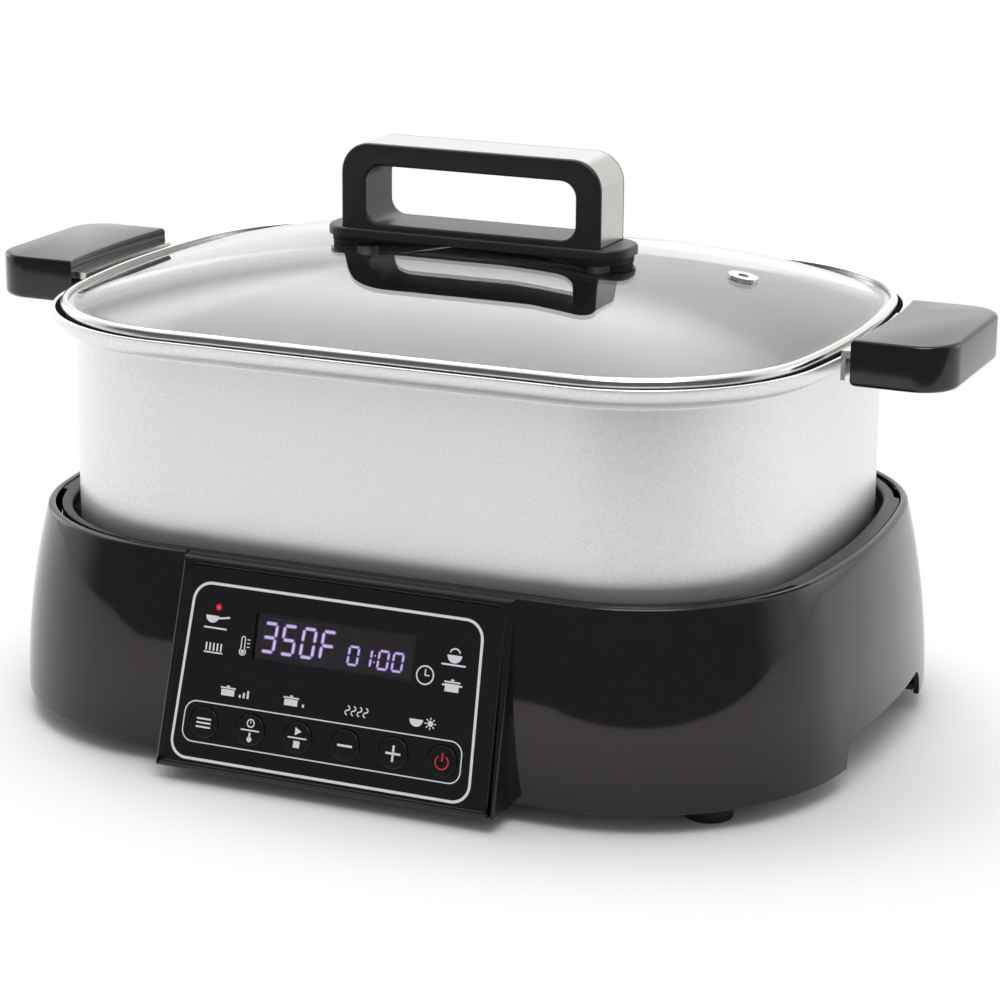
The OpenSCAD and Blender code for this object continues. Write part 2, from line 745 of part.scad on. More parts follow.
module heater_tube() color([0.35, 0.33, 0.31]) on_axis() {
    difference() {
        sweep(pot_o) translate([-tube_in, plate_z]) circle(tube_r, $fn = 48);
        translate([-tube_gap, 0, plate_z - far/2]) cube([2*tube_gap, far, far]);
    }
    for (i = [-1, 1]) translate([i*tube_gap, pot_o[1] - tube_in, pin_z])
        cylinder(r = pin_r, h = plate_z - pin_z);
}
module tube_sleeves() color([0.92, 0.9, 0.85]) on_axis()
    for (i = [-1, 1]) translate([i*tube_gap, pot_o[1] - tube_in, liner_z - sleeve_h]) difference() {
        cylinder(r = pin_r + sleeve_t, h = 2*sleeve_h + liner_t);
        translate([0, 0, -over]) cylinder(r = pin_r, h = far);
    }
module plate_posts() color([0.72, 0.72, 0.74]) on_axis() at_four(stud_x, stud_y)
    translate([0, 0, liner_top]) difference() {
        cylinder(r = stud_r, h = plate_z - liner_top);
        translate([0, 0, -over]) cylinder(r = stud_screw_r + stud_play, h = far);
    }
module plate_screws() color([0.6, 0.6, 0.62]) on_axis() at_four(stud_x, stud_y) {
    translate([0, 0, liner_z - stud_head_h]) cylinder(r = stud_head_r, h = stud_head_h);
    translate([0, 0, liner_z - eps]) cylinder(r = stud_screw_r, h = plate_z + stud_screw_in - liner_z);
}
module sensor_guide() color([0.2, 0.2, 0.2]) on_axis() translate([0, 0, liner_top]) difference() {
    cylinder(r = cap_stem_r + cap_stem_play + guide_t, h = guide_h);
    translate([0, 0, -over]) cylinder(r = cap_stem_r + cap_stem_play, h = far);
}
module sensor_spring() color([0.7, 0.7, 0.7]) on_axis() {
    low = liner_top + guide_h + coil_r;
    high = pot_z - cap_t - coil_play - coil_r;
    for (i = [0:coils - 1]) translate([0, 0, low + (high - low)*i/(coils - 1)]) rotate_extrude()
        translate([coil_mean, 0]) circle(coil_r, $fn = 48);
}
module sensor_cap() color([0.8, 0.8, 0.82]) on_axis() {
    translate([0, 0, pot_z - cap_t]) cylinder(r = cap_r, h = cap_t);
    translate([0, 0, liner_top + cap_stem_z])
        cylinder(r = cap_stem_r, h = pot_z - cap_t - liner_top - cap_stem_z + eps);
}
module thermal_fuse() color([0.85, 0.83, 0.8]) on_axis() translate([0, fuse_y, liner_z - fuse_r]) {
    rotate([0, 90, 0]) cylinder(r = fuse_r, h = fuse_l, center = true);
    translate([-fuse_clip_l/2, -fuse_clip_w/2, fuse_r - fuse_clip_t])
        cube([fuse_clip_l, fuse_clip_w, fuse_clip_t]);
}

module power_board() color([0.1, 0.35, 0.2]) on_axis()
    translate([pcb_x - pcb_l/2, pcb_y - pcb_w/2, tray_top + pcb_up]) cube([pcb_l, pcb_w, board_t]);
module on_pcb(x, y) { on_axis() translate([pcb_x + x, pcb_y + y, tray_top + pcb_up + board_t]) children(); }
module relay() color([0.15, 0.3, 0.6]) on_pcb(relay_x, relay_y) cube([relay_l, relay_w, relay_h]);
module transformer() color([0.75, 0.6, 0.15]) on_pcb(coil_x, coil_y) cube([coil_l, coil_w, coil_h]);
module capacitors() color([0.1, 0.1, 0.35])
    for (i = [0, 1]) on_pcb(cap_can_x + i*cap_can_gap, cap_can_y) cylinder(r = cap_can_r, h = cap_can_h);
module terminal_block() color([0.9, 0.9, 0.88]) on_axis()
    translate([cord_x - block_l/2, block_y, tray_top]) difference() {
        cube([block_l, block_w, block_h]);
        for (i = [1:block_n]) translate([i*block_l/(block_n + 1), -over, block_h/2])
            rotate([-90, 0, 0]) cylinder(r = block_bore_r, h = far);
    }

// the panel face as a flat shape, drawn in by a margin
module face(in) {
    k = (panel_low_hw - panel_top_hw)/panel_h;
    polygon([[-panel_low_hw + in - k*in, -panel_h/2 + in], [panel_low_hw - in + k*in, -panel_h/2 + in],
        [panel_top_hw - in - k*in, panel_h/2 - in], [-panel_top_hw + in + k*in, panel_h/2 - in]]);
}
module panel_case() color([0.07, 0.07, 0.08]) difference() {
    on_axis() intersection() {
        panel_zone();
        rotate([90, 0, 90]) translate([0, 0, -far/2]) linear_extrude(far) polygon([
            [-panel_low_y, panel_low_z], [-panel_top_y, panel_top_z],
            [-base_o[1] - skirt_top, base_top], [-base_o[1] + lip_in, base_top],
            [-base_o[1] + lip_in, panel_low_z]]);
    }
    on_panel() translate([0, 0, fascia_w]) linear_extrude(far) face(frame_w);
    on_panel() translate([0, 0, ledge_back - over]) linear_extrude(far) face(ledge_w);
    difference() {
        on_panel() translate([0, 0, -far]) linear_extrude(far + ledge_back) face(case_t);
        on_panel() board_posts() cylinder(r = board_post_r, h = ledge_back - board_face + over);
        on_axis() translate([-far/2, -far/2, 0]) cube([far, far, panel_low_z + case_t]);
    }
    on_panel() board_posts() translate([0, 0, -over]) cylinder(r = board_screw_r, h = board_screw_l + over);
}
module board_posts() {
    for (i = [-1, 1], v = [board_post_top, board_post_low])
        translate([i*board_post_x, v, board_face]) children();
}
module panel_fascia() color([0.03, 0.03, 0.04]) on_panel() difference() {
    translate([0, 0, fascia_w]) linear_extrude(fascia_t) face(frame_w);
    translate([window_x, window_v, 0]) cube([window_l, window_h, far], center = true);
    translate([lamp_x, lamp_v, -far/2]) cylinder(r = lamp_r + lamp_play, h = far);
    for (i = [0:5]) translate([key_x + i*key_pitch, key_v, -far/2]) cylinder(r = key_r + key_play, h = far);
}
module display_window() color([0.12, 0.12, 0.15]) on_panel()
    translate([window_x - window_l/2, window_v - window_h/2, fascia_w]) cube([window_l, window_h, fascia_t]);
module display_block() color([0.85, 0.85, 0.95]) on_panel()
    translate([window_x - window_l/2 + display_in, window_v - window_h/2 + display_in, board_face])
        cube([window_l - 2*display_in, window_h - 2*display_in, fascia_w - display_gap - board_face]);
module status_lamp() color([0.85, 0.05, 0.08]) on_panel() translate([lamp_x, lamp_v, board_face])
    cylinder(r = lamp_r, h = -2*fascia_sink - board_face);
module control_board() color([0.1, 0.35, 0.2]) on_panel() difference() {
    translate([-board_hw, board_low_v, board_w]) cube([2*board_hw, board_top_v - board_low_v, board_t]);
    board_posts() cylinder(r = board_screw_r, h = far, center = true);
}
module key_switches() color([0.3, 0.3, 0.32]) on_panel() for (i = [0:5])
    translate([key_x + i*key_pitch, key_v, board_face]) {
        translate([-switch_w/2, -switch_w/2, 0]) cube([switch_w, switch_w, switch_h]);
        cylinder(r = switch_pin_r, h = switch_h + switch_pin_h);
    }
module board_screws() color([0.6, 0.6, 0.62]) on_panel() board_posts() {
    translate([0, 0, -board_t - board_head_h]) cylinder(r = board_head_r, h = board_head_h);
    translate([0, 0, -board_t - eps]) cylinder(r = board_screw_r, h = board_t + board_screw_l);
}
module key(i) color([0.06, 0.06, 0.07]) on_panel() translate([key_x + i*key_pitch, key_v, 0]) {
    translate([0, 0, collar_w]) cylinder(r = key_r, h = key_rise - fascia_sink - collar_w);
    translate([0, 0, collar_w]) cylinder(r = key_collar_r, h = key_collar_t);
    translate([0, 0, stem_w]) cylinder(r = key_stem_r, h = key_stem_l + eps);
}
module key_1() { key(0); }
module key_2() { key(1); }
module key_3() { key(2); }
module key_4() { key(3); }
module key_5() { key(4); }
module key_6() { key(5); }

module quarter_ring(r, t) {
    intersection() {
        difference() {
            circle(r, $fn = 72);
            circle(r - t, $fn = 72);
        }
        translate([0, -r]) square(r);
    }
}
module pot() color([0.8, 0.8, 0.82]) on_axis() {
    floor_end = -flange_w - pot_round;
    sweep(pot_o) {
        translate([floor_end - slab_band, pot_z]) square([slab_band + eps, pot_floor]);
        translate([floor_end, pot_z + pot_round]) quarter_ring(pot_round, pot_wall);
        translate([-flange_w - pot_wall, pot_z + pot_round])
            square([pot_wall, ledge_z - pot_z - pot_round]);
        translate([-flange_w - pot_wall, ledge_z - pot_wall])
            square([flange_w + pot_wall - flange_r, pot_wall]);
        translate([-flange_r, ledge_z - pot_wall + flange_r]) quarter_ring(flange_r, pot_wall);
        translate([-pot_wall, ledge_z - pot_wall + flange_r])
            square([pot_wall, rim_z - ledge_z + pot_wall - flange_r]);
    }
    translate([0, 0, pot_z]) linear_extrude(pot_floor)
        polygon(loop_pts(pot_o, floor_end - slab_band/2, 2));
}

// one bracket and one grip, drawn on the right-hand end
module end_arc(d, w, z0, z1) {
    intersection() {
        translate([end_cx, 0, z0]) difference() {
            cylinder(r = end_r + d[1], h = z1 - z0, $fn = 720);
            translate([0, 0, -over]) cylinder(r = end_r + d[0], h = z1 - z0 + 2*over, $fn = 720);
        }
        translate([0, -w/2, 0]) cube([far, w, far]);
    }
}
module bracket() difference() {
    union() {
        end_arc([0, bracket_t], bracket_w, rim_z - bracket_drop, rim_z + tongue_t);
        end_arc([0, grip_gap], bracket_w, rim_z, rim_z + tongue_t);
        end_arc([0, tongue_l], tongue_w, rim_z, rim_z + tongue_t);
    }
    grip_drill(screw_play);
}
module grip_drill(play) {
    for (j = [-1, 1]) translate([grip_screw_x, j*grip_screw_gap/2, 0])
        cylinder(r = grip_screw_r + play, h = grip_z + grip_sink + grip_head_h + grip_screw_l);
}
module grip() difference() {
    translate([0, 0, grip_z]) linear_extrude(grip_t) difference() {
        translate([grip_end/2, 0]) rounded(grip_end, grip_w, grip_round);
        translate([end_cx, 0]) circle(end_r + grip_gap, $fn = 720);
    }
    end_arc([0, tongue_l], tongue_w, rim_z, rim_z + tongue_t);
    grip_drill(0);
    for (j = [-1, 1]) translate([grip_screw_x, j*grip_screw_gap/2, 0])
        cylinder(r = grip_head_r, h = grip_z + grip_sink + grip_head_h);
}
module bracket_right() color([0.7, 0.7, 0.72]) on_axis() bracket();
module bracket_left() color([0.7, 0.7, 0.72]) on_axis() mirror([1, 0, 0]) bracket();
module grip_right() color([0.08, 0.08, 0.09]) on_axis() grip();
module grip_left() color([0.08, 0.08, 0.09]) on_axis() mirror([1, 0, 0]) grip();
module grip_screws() color([0.6, 0.6, 0.62]) on_axis() for (i = [-1, 1], j = [-1, 1])
    translate([i*grip_screw_x, j*grip_screw_gap/2, grip_z + grip_sink]) {
        cylinder(r = grip_head_r, h = grip_head_h);
        cylinder(r = grip_screw_r, h = grip_head_h + grip_screw_l);
    }

// dome height above the glass edge at a share s of the way out
dome_n = 9;
function dome(s) = dome_h*(1 - pow(s, dome_pow));
// share of the way out of a point near the long axis
function share(x, y) = let (c = end_cx, r = end_r - band_in, k = r*r - c*c)
    (-c*x + sqrt(c*c*x*x + k*(x*x + y*y)))/k;
vent_s = share(vent_x, vent_y);
vent_top = glass_edge_z + dome(vent_s);
// fall of the dome along and across the lid at the steam eyelet
fall_x = dome(share(vent_x - 1/2, vent_y)) - dome(share(vent_x + 1/2, vent_y));
fall_y = dome(share(vent_x, vent_y - 1/2)) - dome(share(vent_x, vent_y + 1/2));
module at_vent() {
    on_axis() translate([vent_x, vent_y, vent_top])
        rotate(a = atan(norm([fall_x, fall_y])), v = [-fall_y, fall_x, 0]) children();
}
module lid_glass() color([0.6, 0.65, 0.7, 0.4]) difference() {
    on_axis() glass_body();
    on_axis() for (i = [-1, 1]) translate([i*lid_screw_x, 0, 0])
        cylinder(r = lid_screw_r + screw_play, h = far);
    at_vent() cylinder(r = vent_tube_r + vent_play, h = 4*glass_t, center = true);
}
module glass_body() {
    rim = loop_pts(pot_o, -glass_in, 8);
    foot = loop_pts(pot_o, -band_in, 8);
    n = len(rim);
    // rings from the middle out over the top, round the edge and back below
    top = [for (k = [1:dome_n]) [for (p = foot) let (s = k/dome_n) [s*p[0], s*p[1], glass_edge_z + dome(s)]]];
    edge = [[for (p = rim) [p[0], p[1], glass_edge_z]], [for (p = rim) [p[0], p[1], glass_z]]];
    low = [for (k = [dome_n:-1:1]) [for (p = foot) let (s = k/dome_n) [s*p[0], s*p[1], glass_z + dome(s)]]];
    rings = concat(top, edge, low);
    m = len(rings);
    pts = concat([for (r = rings) each r], [[0, 0, apex_z], [0, 0, apex_z - glass_t]]);
    polyhedron(pts, concat(
        [for (k = [0:m - 2], i = [0:n - 1]) each let (j = (i + 1)%n)
            [[k*n + i, k*n + j, (k + 1)*n + i], [k*n + j, (k + 1)*n + j, (k + 1)*n + i]]],
        [for (i = [0:n - 1]) [m*n, (i + 1)%n, i]],
        [for (i = [0:n - 1]) [m*n + 1, (m - 1)*n + i, (m - 1)*n + (i + 1)%n]]));
}
module lid_band() color([0.85, 0.83, 0.8]) on_axis() sweep(pot_o) polygon([
    [-band_in, ledge_z], [-band_in + band_leg_t, ledge_z], [-band_in + band_leg_t, glass_z - band_t],
    [-band_inset - band_t/2, glass_z - band_t], [-band_inset, glass_z - band_t/2],
    [-band_inset, glass_edge_z + band_t - band_cham], [-band_inset - band_cham, glass_edge_z + band_t],
    [-band_in, glass_edge_z + band_t], [-band_in, glass_edge_z],
    [-band_inset - band_t, glass_edge_z], [-band_inset - band_t, glass_z], [-band_in, glass_z]]);
module steam_eyelet() color([0.85, 0.85, 0.86]) at_vent() difference() {
    union() {
        cylinder(r = vent_flange_r, h = vent_t);
        translate([0, 0, -glass_t - vent_play]) cylinder(r = vent_tube_r, h = glass_t + vent_play + eps);
        translate([0, 0, -glass_t - vent_play - vent_t])
            cylinder(r = vent_flange_r - vent_t, h = vent_t + eps);
    }
    cylinder(r = vent_bore_r, h = far, center = true);
}
// pad with a flat top whose underside follows the dome in short straight steps
module handle_gasket() color([0.1, 0.1, 0.1]) on_axis() difference() {
    intersection() {
        translate([0, 0, glass_edge_z]) linear_extrude(seat_z - glass_edge_z)
            rounded(seat_l - 2*gasket_in, seat_w - 2*gasket_in, seat_r - gasket_in);
        translate([0, seat_w, 0]) rotate([90, 0, 0]) linear_extrude(2*seat_w) polygon(concat(
            [for (i = [-gasket_n:gasket_n]) let (x = i*seat_l/2/gasket_n)
                [x, glass_edge_z + dome(abs(x)/dome_a) + gasket_lift]],
            [[seat_l/2, seat_z + seat_t], [-seat_l/2, seat_z + seat_t]]));
    }
    for (i = [-1, 1]) translate([i*lid_screw_x, 0, 0]) cylinder(r = lid_screw_r, h = far);
}
module handle_seat() color([0.07, 0.07, 0.07]) on_axis() translate([0, 0, seat_z]) difference() {
    linear_extrude(seat_t) rounded(seat_l, seat_w, seat_r);
    for (i = [-1, 1]) translate([i*lid_screw_x, 0, -over]) cylinder(r = lid_screw_r, h = far);
}
// upright slice of the loop along the handle, standing on the seat
module upright(w) { on_axis() translate([0, w/2, loop_z]) rotate([90, 0, 0]) linear_extrude(w) children(); }
module handle_loop() color([0.07, 0.07, 0.07]) difference() {
    upright(loop_w) difference() {
        arch(loop_l/2, loop_h, loop_r);
        translate([0, (loop_h - bar_t + sill_t)/2])
            rounded(loop_l - 2*leg_w, loop_h - bar_t - sill_t, eye_r);
    }
    upright(loop_w - 2*strip_edge) strip_shape();
    on_axis() for (i = [-1, 1]) translate([i*lid_screw_x, 0, loop_z - over])
        cylinder(r = lid_screw_r, h = over + lid_screw_in + lid_spare);
}
module strip_shape() {
    difference() {
        arch(loop_l/2, loop_h, loop_r);
        translate([0, -eps]) arch(loop_l/2 - strip_t, loop_h - strip_t + eps, loop_r - strip_t);
    }
}
module handle_strip() color([0.85, 0.83, 0.8]) upright(loop_w - 2*strip_edge) strip_shape();
module lid_screws() color([0.7, 0.7, 0.72]) on_axis() for (i = [-1, 1])
    translate([i*lid_screw_x, 0, washer_z - washer_t]) {
        translate([0, 0, -lid_head_h]) cylinder(r = lid_head_r, h = lid_head_h);
        translate([0, 0, -eps]) cylinder(r = lid_screw_r, h = loop_z + lid_screw_in - washer_z + washer_t);
    }
module lid_washers() color([0.75, 0.75, 0.75]) on_axis() for (i = [-1, 1])
    translate([i*lid_screw_x, 0, washer_z - washer_t]) difference() {
        cylinder(r = washer_r, h = washer_t);
        translate([0, 0, -over]) cylinder(r = lid_screw_r, h = washer_t + 2*over);
    }

base_shell();
top_ring();
base_tray();
tray_screws();
feet();
cord_bushing();
well_liner();
heater_plate();
heater_tube();
tube_sleeves();
plate_posts();
plate_screws();
sensor_guide();
sensor_spring();
sensor_cap();
thermal_fuse();
power_board();
relay();
transformer();
capacitors();
terminal_block();
panel_case();
panel_fascia();
display_window();
display_block();
status_lamp();
control_board();
key_switches();
board_screws();
key_1();
key_2();
key_3();
key_4();
key_5();
key_6();
pot();
bracket_left();
bracket_right();
grip_left();
grip_right();
grip_screws();
lid_glass();
lid_band();
steam_eyelet();
handle_gasket();
handle_seat();
handle_loop();
handle_strip();
lid_screws();
lid_washers();
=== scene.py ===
import json
import math
import bmesh
import bpy
from mathutils import Matrix, Vector


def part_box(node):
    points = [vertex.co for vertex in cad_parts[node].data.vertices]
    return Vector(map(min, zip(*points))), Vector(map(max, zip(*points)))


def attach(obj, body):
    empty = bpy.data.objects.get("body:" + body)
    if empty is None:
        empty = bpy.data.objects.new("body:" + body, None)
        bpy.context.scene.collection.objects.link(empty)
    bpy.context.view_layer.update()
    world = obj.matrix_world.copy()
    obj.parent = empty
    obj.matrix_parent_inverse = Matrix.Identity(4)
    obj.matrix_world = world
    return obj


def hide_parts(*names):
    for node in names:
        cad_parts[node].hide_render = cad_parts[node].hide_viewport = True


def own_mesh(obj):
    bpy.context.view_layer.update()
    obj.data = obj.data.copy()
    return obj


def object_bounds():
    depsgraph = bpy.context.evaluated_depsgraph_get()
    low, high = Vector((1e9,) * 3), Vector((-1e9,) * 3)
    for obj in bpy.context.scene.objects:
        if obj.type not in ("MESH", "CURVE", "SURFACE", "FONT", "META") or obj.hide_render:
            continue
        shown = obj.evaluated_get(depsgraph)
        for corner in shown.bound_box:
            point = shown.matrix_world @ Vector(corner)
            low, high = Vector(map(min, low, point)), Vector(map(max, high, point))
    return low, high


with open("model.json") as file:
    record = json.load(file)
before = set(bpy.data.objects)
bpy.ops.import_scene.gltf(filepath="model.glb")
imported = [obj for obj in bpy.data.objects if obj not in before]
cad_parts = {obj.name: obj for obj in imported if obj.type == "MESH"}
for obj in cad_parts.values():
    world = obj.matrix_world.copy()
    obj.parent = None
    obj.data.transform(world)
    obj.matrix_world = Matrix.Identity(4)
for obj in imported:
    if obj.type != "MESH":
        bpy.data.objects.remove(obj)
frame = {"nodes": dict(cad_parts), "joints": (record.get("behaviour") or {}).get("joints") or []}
cad_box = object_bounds()

# Base shell: one moulding in glossy black ABS. The skirt flares towards the table, its top edge is
# a rounded lip, a low arch in each end leaves room for the fingers, the rear has a hole for the
# cord bushing, and the front is left open for the control panel.
pot_low, pot_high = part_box("pot")
ring_low, ring_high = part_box("top_ring")
shell_low, shell_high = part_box("base_shell")
axis_y = (pot_low.y + pot_high.y) / 2
rim_half = ((pot_high.x - pot_low.x) / 2, (pot_high.y - pot_low.y) / 2)
lip_in = 0.0012
base_half = ((ring_high.x - ring_low.x) / 2 + lip_in, (ring_high.y - ring_low.y) / 2 + lip_in)
# the outline's arcs meet on the long side of a right triangle with sides of 13, 84 and 85 bows
bow = 0.0036
end_turn = math.atan2(13, 84)
corner_turn = math.pi / 2 - end_turn


def corner_of(half):
    """Corner centre, corner radius and end radius of an outline with straight sides and bowed ends."""
    corner_round = half[1] - 13 * bow
    end_round = corner_round + 85 * bow
    return half[0] - end_round + 84 * bow, 13 * bow, corner_round, end_round


def link_up(bm, verts, closed=True):
    """Joins vertices by edges, one after the other."""
    for one, two in zip(verts, verts[1:] + verts[:1] if closed else verts[1:]):
        bm.edges.new((one, two))


def round_off(bm, geom, rounding, segments, affect="VERTICES"):
    """Rounds corners of a wire or edges of a solid."""
    bmesh.ops.bevel(bm, geom=geom, offset=rounding, offset_type="OFFSET", segments=segments, profile=0.5,
                    affect=affect, material=-1)


def draw_wire(bm, half, points, closed=True):
    """A wire over the middle of the rear side: outward offset, height and rounding of each corner."""
    corners = [bm.verts.new((0, axis_y + half[1] + out, z)) for out, z, _ in points]
    link_up(bm, corners, closed)
    for corner, (_, _, rounding) in zip(corners, points):
        if rounding:
            round_off(bm, [corner], rounding, 6)


def carry_round(bm, half, corner_steps=30, end_steps=12, side_steps=6):
    """Spins the wire once round the outline."""
    corner_x, corner_y, _, end_round = corner_of(half)
    end_x = half[0] - end_round
    legs = [((0, 0), 0, side_steps, corner_x),
            ((corner_x, corner_y), corner_turn, corner_steps, 0),
            ((end_x, 0), 2 * end_turn, end_steps, 0),
            ((corner_x, -corner_y), corner_turn, corner_steps, 0),
            ((0, 0), 0, 2 * side_steps, -2 * corner_x),
            ((-corner_x, -corner_y), corner_turn, corner_steps, 0),
            ((-end_x, 0), 2 * end_turn, end_steps, 0),
            ((-corner_x, corner_y), corner_turn, corner_steps, 0),
            ((0, 0), 0, side_steps, corner_x)]
    wire = list(bm.verts) + list(bm.edges)
    for (x, y), turn, steps, slide in legs:
        spun = bmesh.ops.spin(bm, geom=wire, cent=(x, axis_y + y, 0), axis=(0, 0, 1),
                              dvec=(slide / steps, 0, 0), angle=-turn, steps=steps)
        wire = spun["geom_last"]
    bmesh.ops.remove_doubles(bm, verts=bm.verts, dist=1e-6)
    bmesh.ops.recalc_face_normals(bm, faces=bm.faces)


def new_material(name, color, roughness, metallic=0.0, **sockets):
    """A material whose shader has these plain values."""
    material = bpy.data.materials.new(name)
    material.use_nodes = True
    inputs = material.node_tree.nodes["Principled BSDF"].inputs
    inputs["Base Color"].default_value = (*color, 1)
    inputs["Roughness"].default_value = roughness
    inputs["Metallic"].default_value = metallic
    for socket, value in sockets.items():
        inputs[socket.replace("_", " ")].default_value = value
    return material


def add_node(tree, kind, operation=None, values=()):
    """A shader node with these plain values."""
    node = tree.nodes.new("ShaderNode" + kind)
    if operation:
        node.operation = operation
    for socket, value in dict(values).items():
        node.inputs[socket].default_value = value
    return node


def connect(tree, *links):
    """Joins an output of one node to an input of another, for each link."""
    for giver, output, taker, socket in links:
        tree.links.new(giver.outputs[output], taker.inputs[socket])


# Mottle: a fine grain that shades the colour and a broad haze that varies the gloss
mottle = bpy.data.node_groups.new("mottle", "ShaderNodeTree")
mottle.interface.new_socket("Color", in_out="INPUT", socket_type="NodeSocketColor")
for title in ("Grain", "Shade", "Roughness", "Haze", "Haze Spread"):
    mottle.interface.new_socket(title, in_out="INPUT", socket_type="NodeSocketFloat")
mottle.interface.new_socket("Color", in_out="OUTPUT", socket_type="NodeSocketColor")
for title in ("Roughness", "Height"):
    mottle.interface.new_socket(title, in_out="OUTPUT", socket_type="NodeSocketFloat")
given = mottle.nodes.new("NodeGroupInput")
made = mottle.nodes.new("NodeGroupOutput")
place = add_node(mottle, "TexCoord")
grain = add_node(mottle, "TexNoise")
haze = add_node(mottle, "TexNoise")
shade = add_node(mottle, "Math", "MULTIPLY_ADD")
lift = add_node(mottle, "Math", "MULTIPLY_ADD")
half_shade = add_node(mottle, "Math", "MULTIPLY_ADD", {1: -0.5, 2: 1.0})
half_haze = add_node(mottle, "Math", "MULTIPLY_ADD", {1: -0.5})
tint = add_node(mottle, "HueSaturation")
connect(mottle, (place, "Object", grain, "Vector"), (place, "Object", haze, "Vector"),
        (given, "Grain", grain, "Scale"), (given, "Haze", haze, "Scale"), (given, "Shade", half_shade, 0),
        (grain, "Fac", shade, 0), (given, "Shade", shade, 1), (half_shade, 0, shade, 2),
        (given, "Haze Spread", half_haze, 0), (given, "Roughness", half_haze, 2), (haze, "Fac", lift, 0),
        (given, "Haze Spread", lift, 1), (half_haze, 0, lift, 2), (given, "Color", tint, "Color"),
        (shade, 0, tint, "Value"), (tint, "Color", made, "Color"), (lift, 0, made, "Roughness"),
        (grain, "Fac", made, "Height"))


def add_mottle(material, grain, shade, haze=20.0, spread=0.05, bump=0.0):
    """Wires the mottle into a material; bump is the height of its grain in metres."""
    tree = material.node_tree
    shader = tree.nodes["Principled BSDF"]
    group = tree.nodes.new("ShaderNodeGroup")
    group.node_tree = mottle
    group.inputs["Color"].default_value = shader.inputs["Base Color"].default_value
    group.inputs["Roughness"].default_value = shader.inputs["Roughness"].default_value
    for title, value in (("Grain", grain), ("Shade", shade), ("Haze", haze), ("Haze Spread", spread)):
        group.inputs[title].default_value = value
    connect(tree, (group, "Color", shader, "Base Color"), (group, "Roughness", shader, "Roughness"))
    if bump:
        relief = add_node(tree, "Bump", values={"Distance": bump})
        connect(tree, (group, "Height", relief, "Height"), (relief, "Normal", shader, "Normal"))
    return material


def add_piece(name, bm, body, materials, replaced=(), sharp=38):
    """Turns a bmesh into a smooth-shaded piece that rides on a body."""
    mesh = bpy.data.meshes.new(name)
    bm.to_mesh(mesh)
    bm.free()
    piece = bpy.data.objects.new(name, mesh)
    bpy.context.scene.collection.objects.link(piece)
    for material in materials:
        mesh.materials.append(material)
    mesh.shade_smooth()
    mesh.set_sharp_from_angle(angle=math.radians(sharp))
    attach(piece, body)
    if replaced:
        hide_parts(*replaced)
    return piece


def cut_away(bm, cutter):
    """Takes the cutter's solid away from the piece's solid."""
    solids = []
    for shape in (bm, cutter):
        mesh = bpy.data.meshes.new("blank")
        shape.to_mesh(mesh)
        shape.free()
        solids.append(bpy.data.objects.new("blank", mesh))
        bpy.context.scene.collection.objects.link(solids[-1])
    trim = solids[0].modifiers.new("trim", "BOOLEAN")
    trim.solver = "EXACT"
    trim.object = solids[1]
    trimmed = solids[0].evaluated_get(bpy.context.evaluated_depsgraph_get()).to_mesh()
    left = bmesh.new()
    left.from_mesh(trimmed)
    for solid in solids:
        mesh = solid.data
        bpy.data.objects.remove(solid)
        bpy.data.meshes.remove(mesh)
    return left


gloss_black = new_material("gloss_black", (0.011, 0.0092, 0.0115), 0.06, Specular_IOR_Level=0.43,
                           Specular_Tint=(1.0, 0.91, 1.0, 1))
add_mottle(gloss_black, grain=70, shade=0.08, haze=14, spread=0.04, bump=0.000004)
flare_top, flare_low = 0.0019, 0.0126
skirt_wall = 0.0026
lip_t = 0.0024
lip_round, edge_round = 0.0016, 0.0009
skirt_top, skirt_edge = shell_high.z, shell_low.z


def flare(share):
    """Skirt offset from the top edge (0) to the lower edge (1)."""
    return flare_top + (flare_low - flare_top) * (2 * share - share * share)


def skirt_level(share):
    """Height of the skirt at a share of its slope."""
    return skirt_top - share * (skirt_top - skirt_edge)


shares = [i / 12 for i in range(1, 12)]
shell = bmesh.new()
draw_wire(shell, base_half, [
    (-lip_in, skirt_top, lip_round / 2), (flare(0), skirt_top, lip_round),
    *[(flare(u), skirt_level(u), 0) for u in shares],
    (flare(1), skirt_edge, edge_round), (flare(1) - skirt_wall, skirt_edge, edge_round),
    *[(flare(u) - skirt_wall, skirt_level(u), 0) for u in reversed(shares)],
    (flare(0) - skirt_wall, skirt_top - lip_t, 0), (-lip_in, skirt_top - lip_t, lip_round / 2)])
carry_round(shell, base_half, corner_steps=36, end_steps=24, side_steps=12)
arch_half, arch_z, arch_round = 0.0515, 0.0225, 0.010
arch_deep = 0.06
for end in (-1, 1):
    arch = bmesh.new()
    bmesh.ops.create_cube(arch, size=1, matrix=Matrix.Translation((end * base_half[0], axis_y, 0))
                          @ Matrix.Diagonal((arch_deep, 2 * arch_half, 2 * arch_z, 1)))
    round_off(arch, [e for e in arch.edges if all(v.co.z > 0 for v in e.verts)
                     and e.verts[0].co.y == e.verts[1].co.y], arch_round, 10, "EDGES")
    shell = cut_away(shell, arch)
case_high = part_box("panel_case")[1]
case_tuck = 0.0012
front = bmesh.new()
front_cut = (2 * (case_high.x - 2 * case_tuck), 0.1, 0.2)
front_spot = (0, axis_y - base_half[1] + lip_in - front_cut[1] / 2, 0.06)
bmesh.ops.create_cube(front, size=1,
                      matrix=Matrix.Translation(front_spot) @ Matrix.Diagonal((*front_cut, 1)))
shell = cut_away(shell, front)
cord_low, cord_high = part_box("cord_bushing")
cord_hole, hole_deep = 0.0068, 0.03
cord_spot = Matrix.Translation((cord_low + cord_high) / 2) @ Matrix.Rotation(math.pi / 2, 4, "X")
bore = bmesh.new()
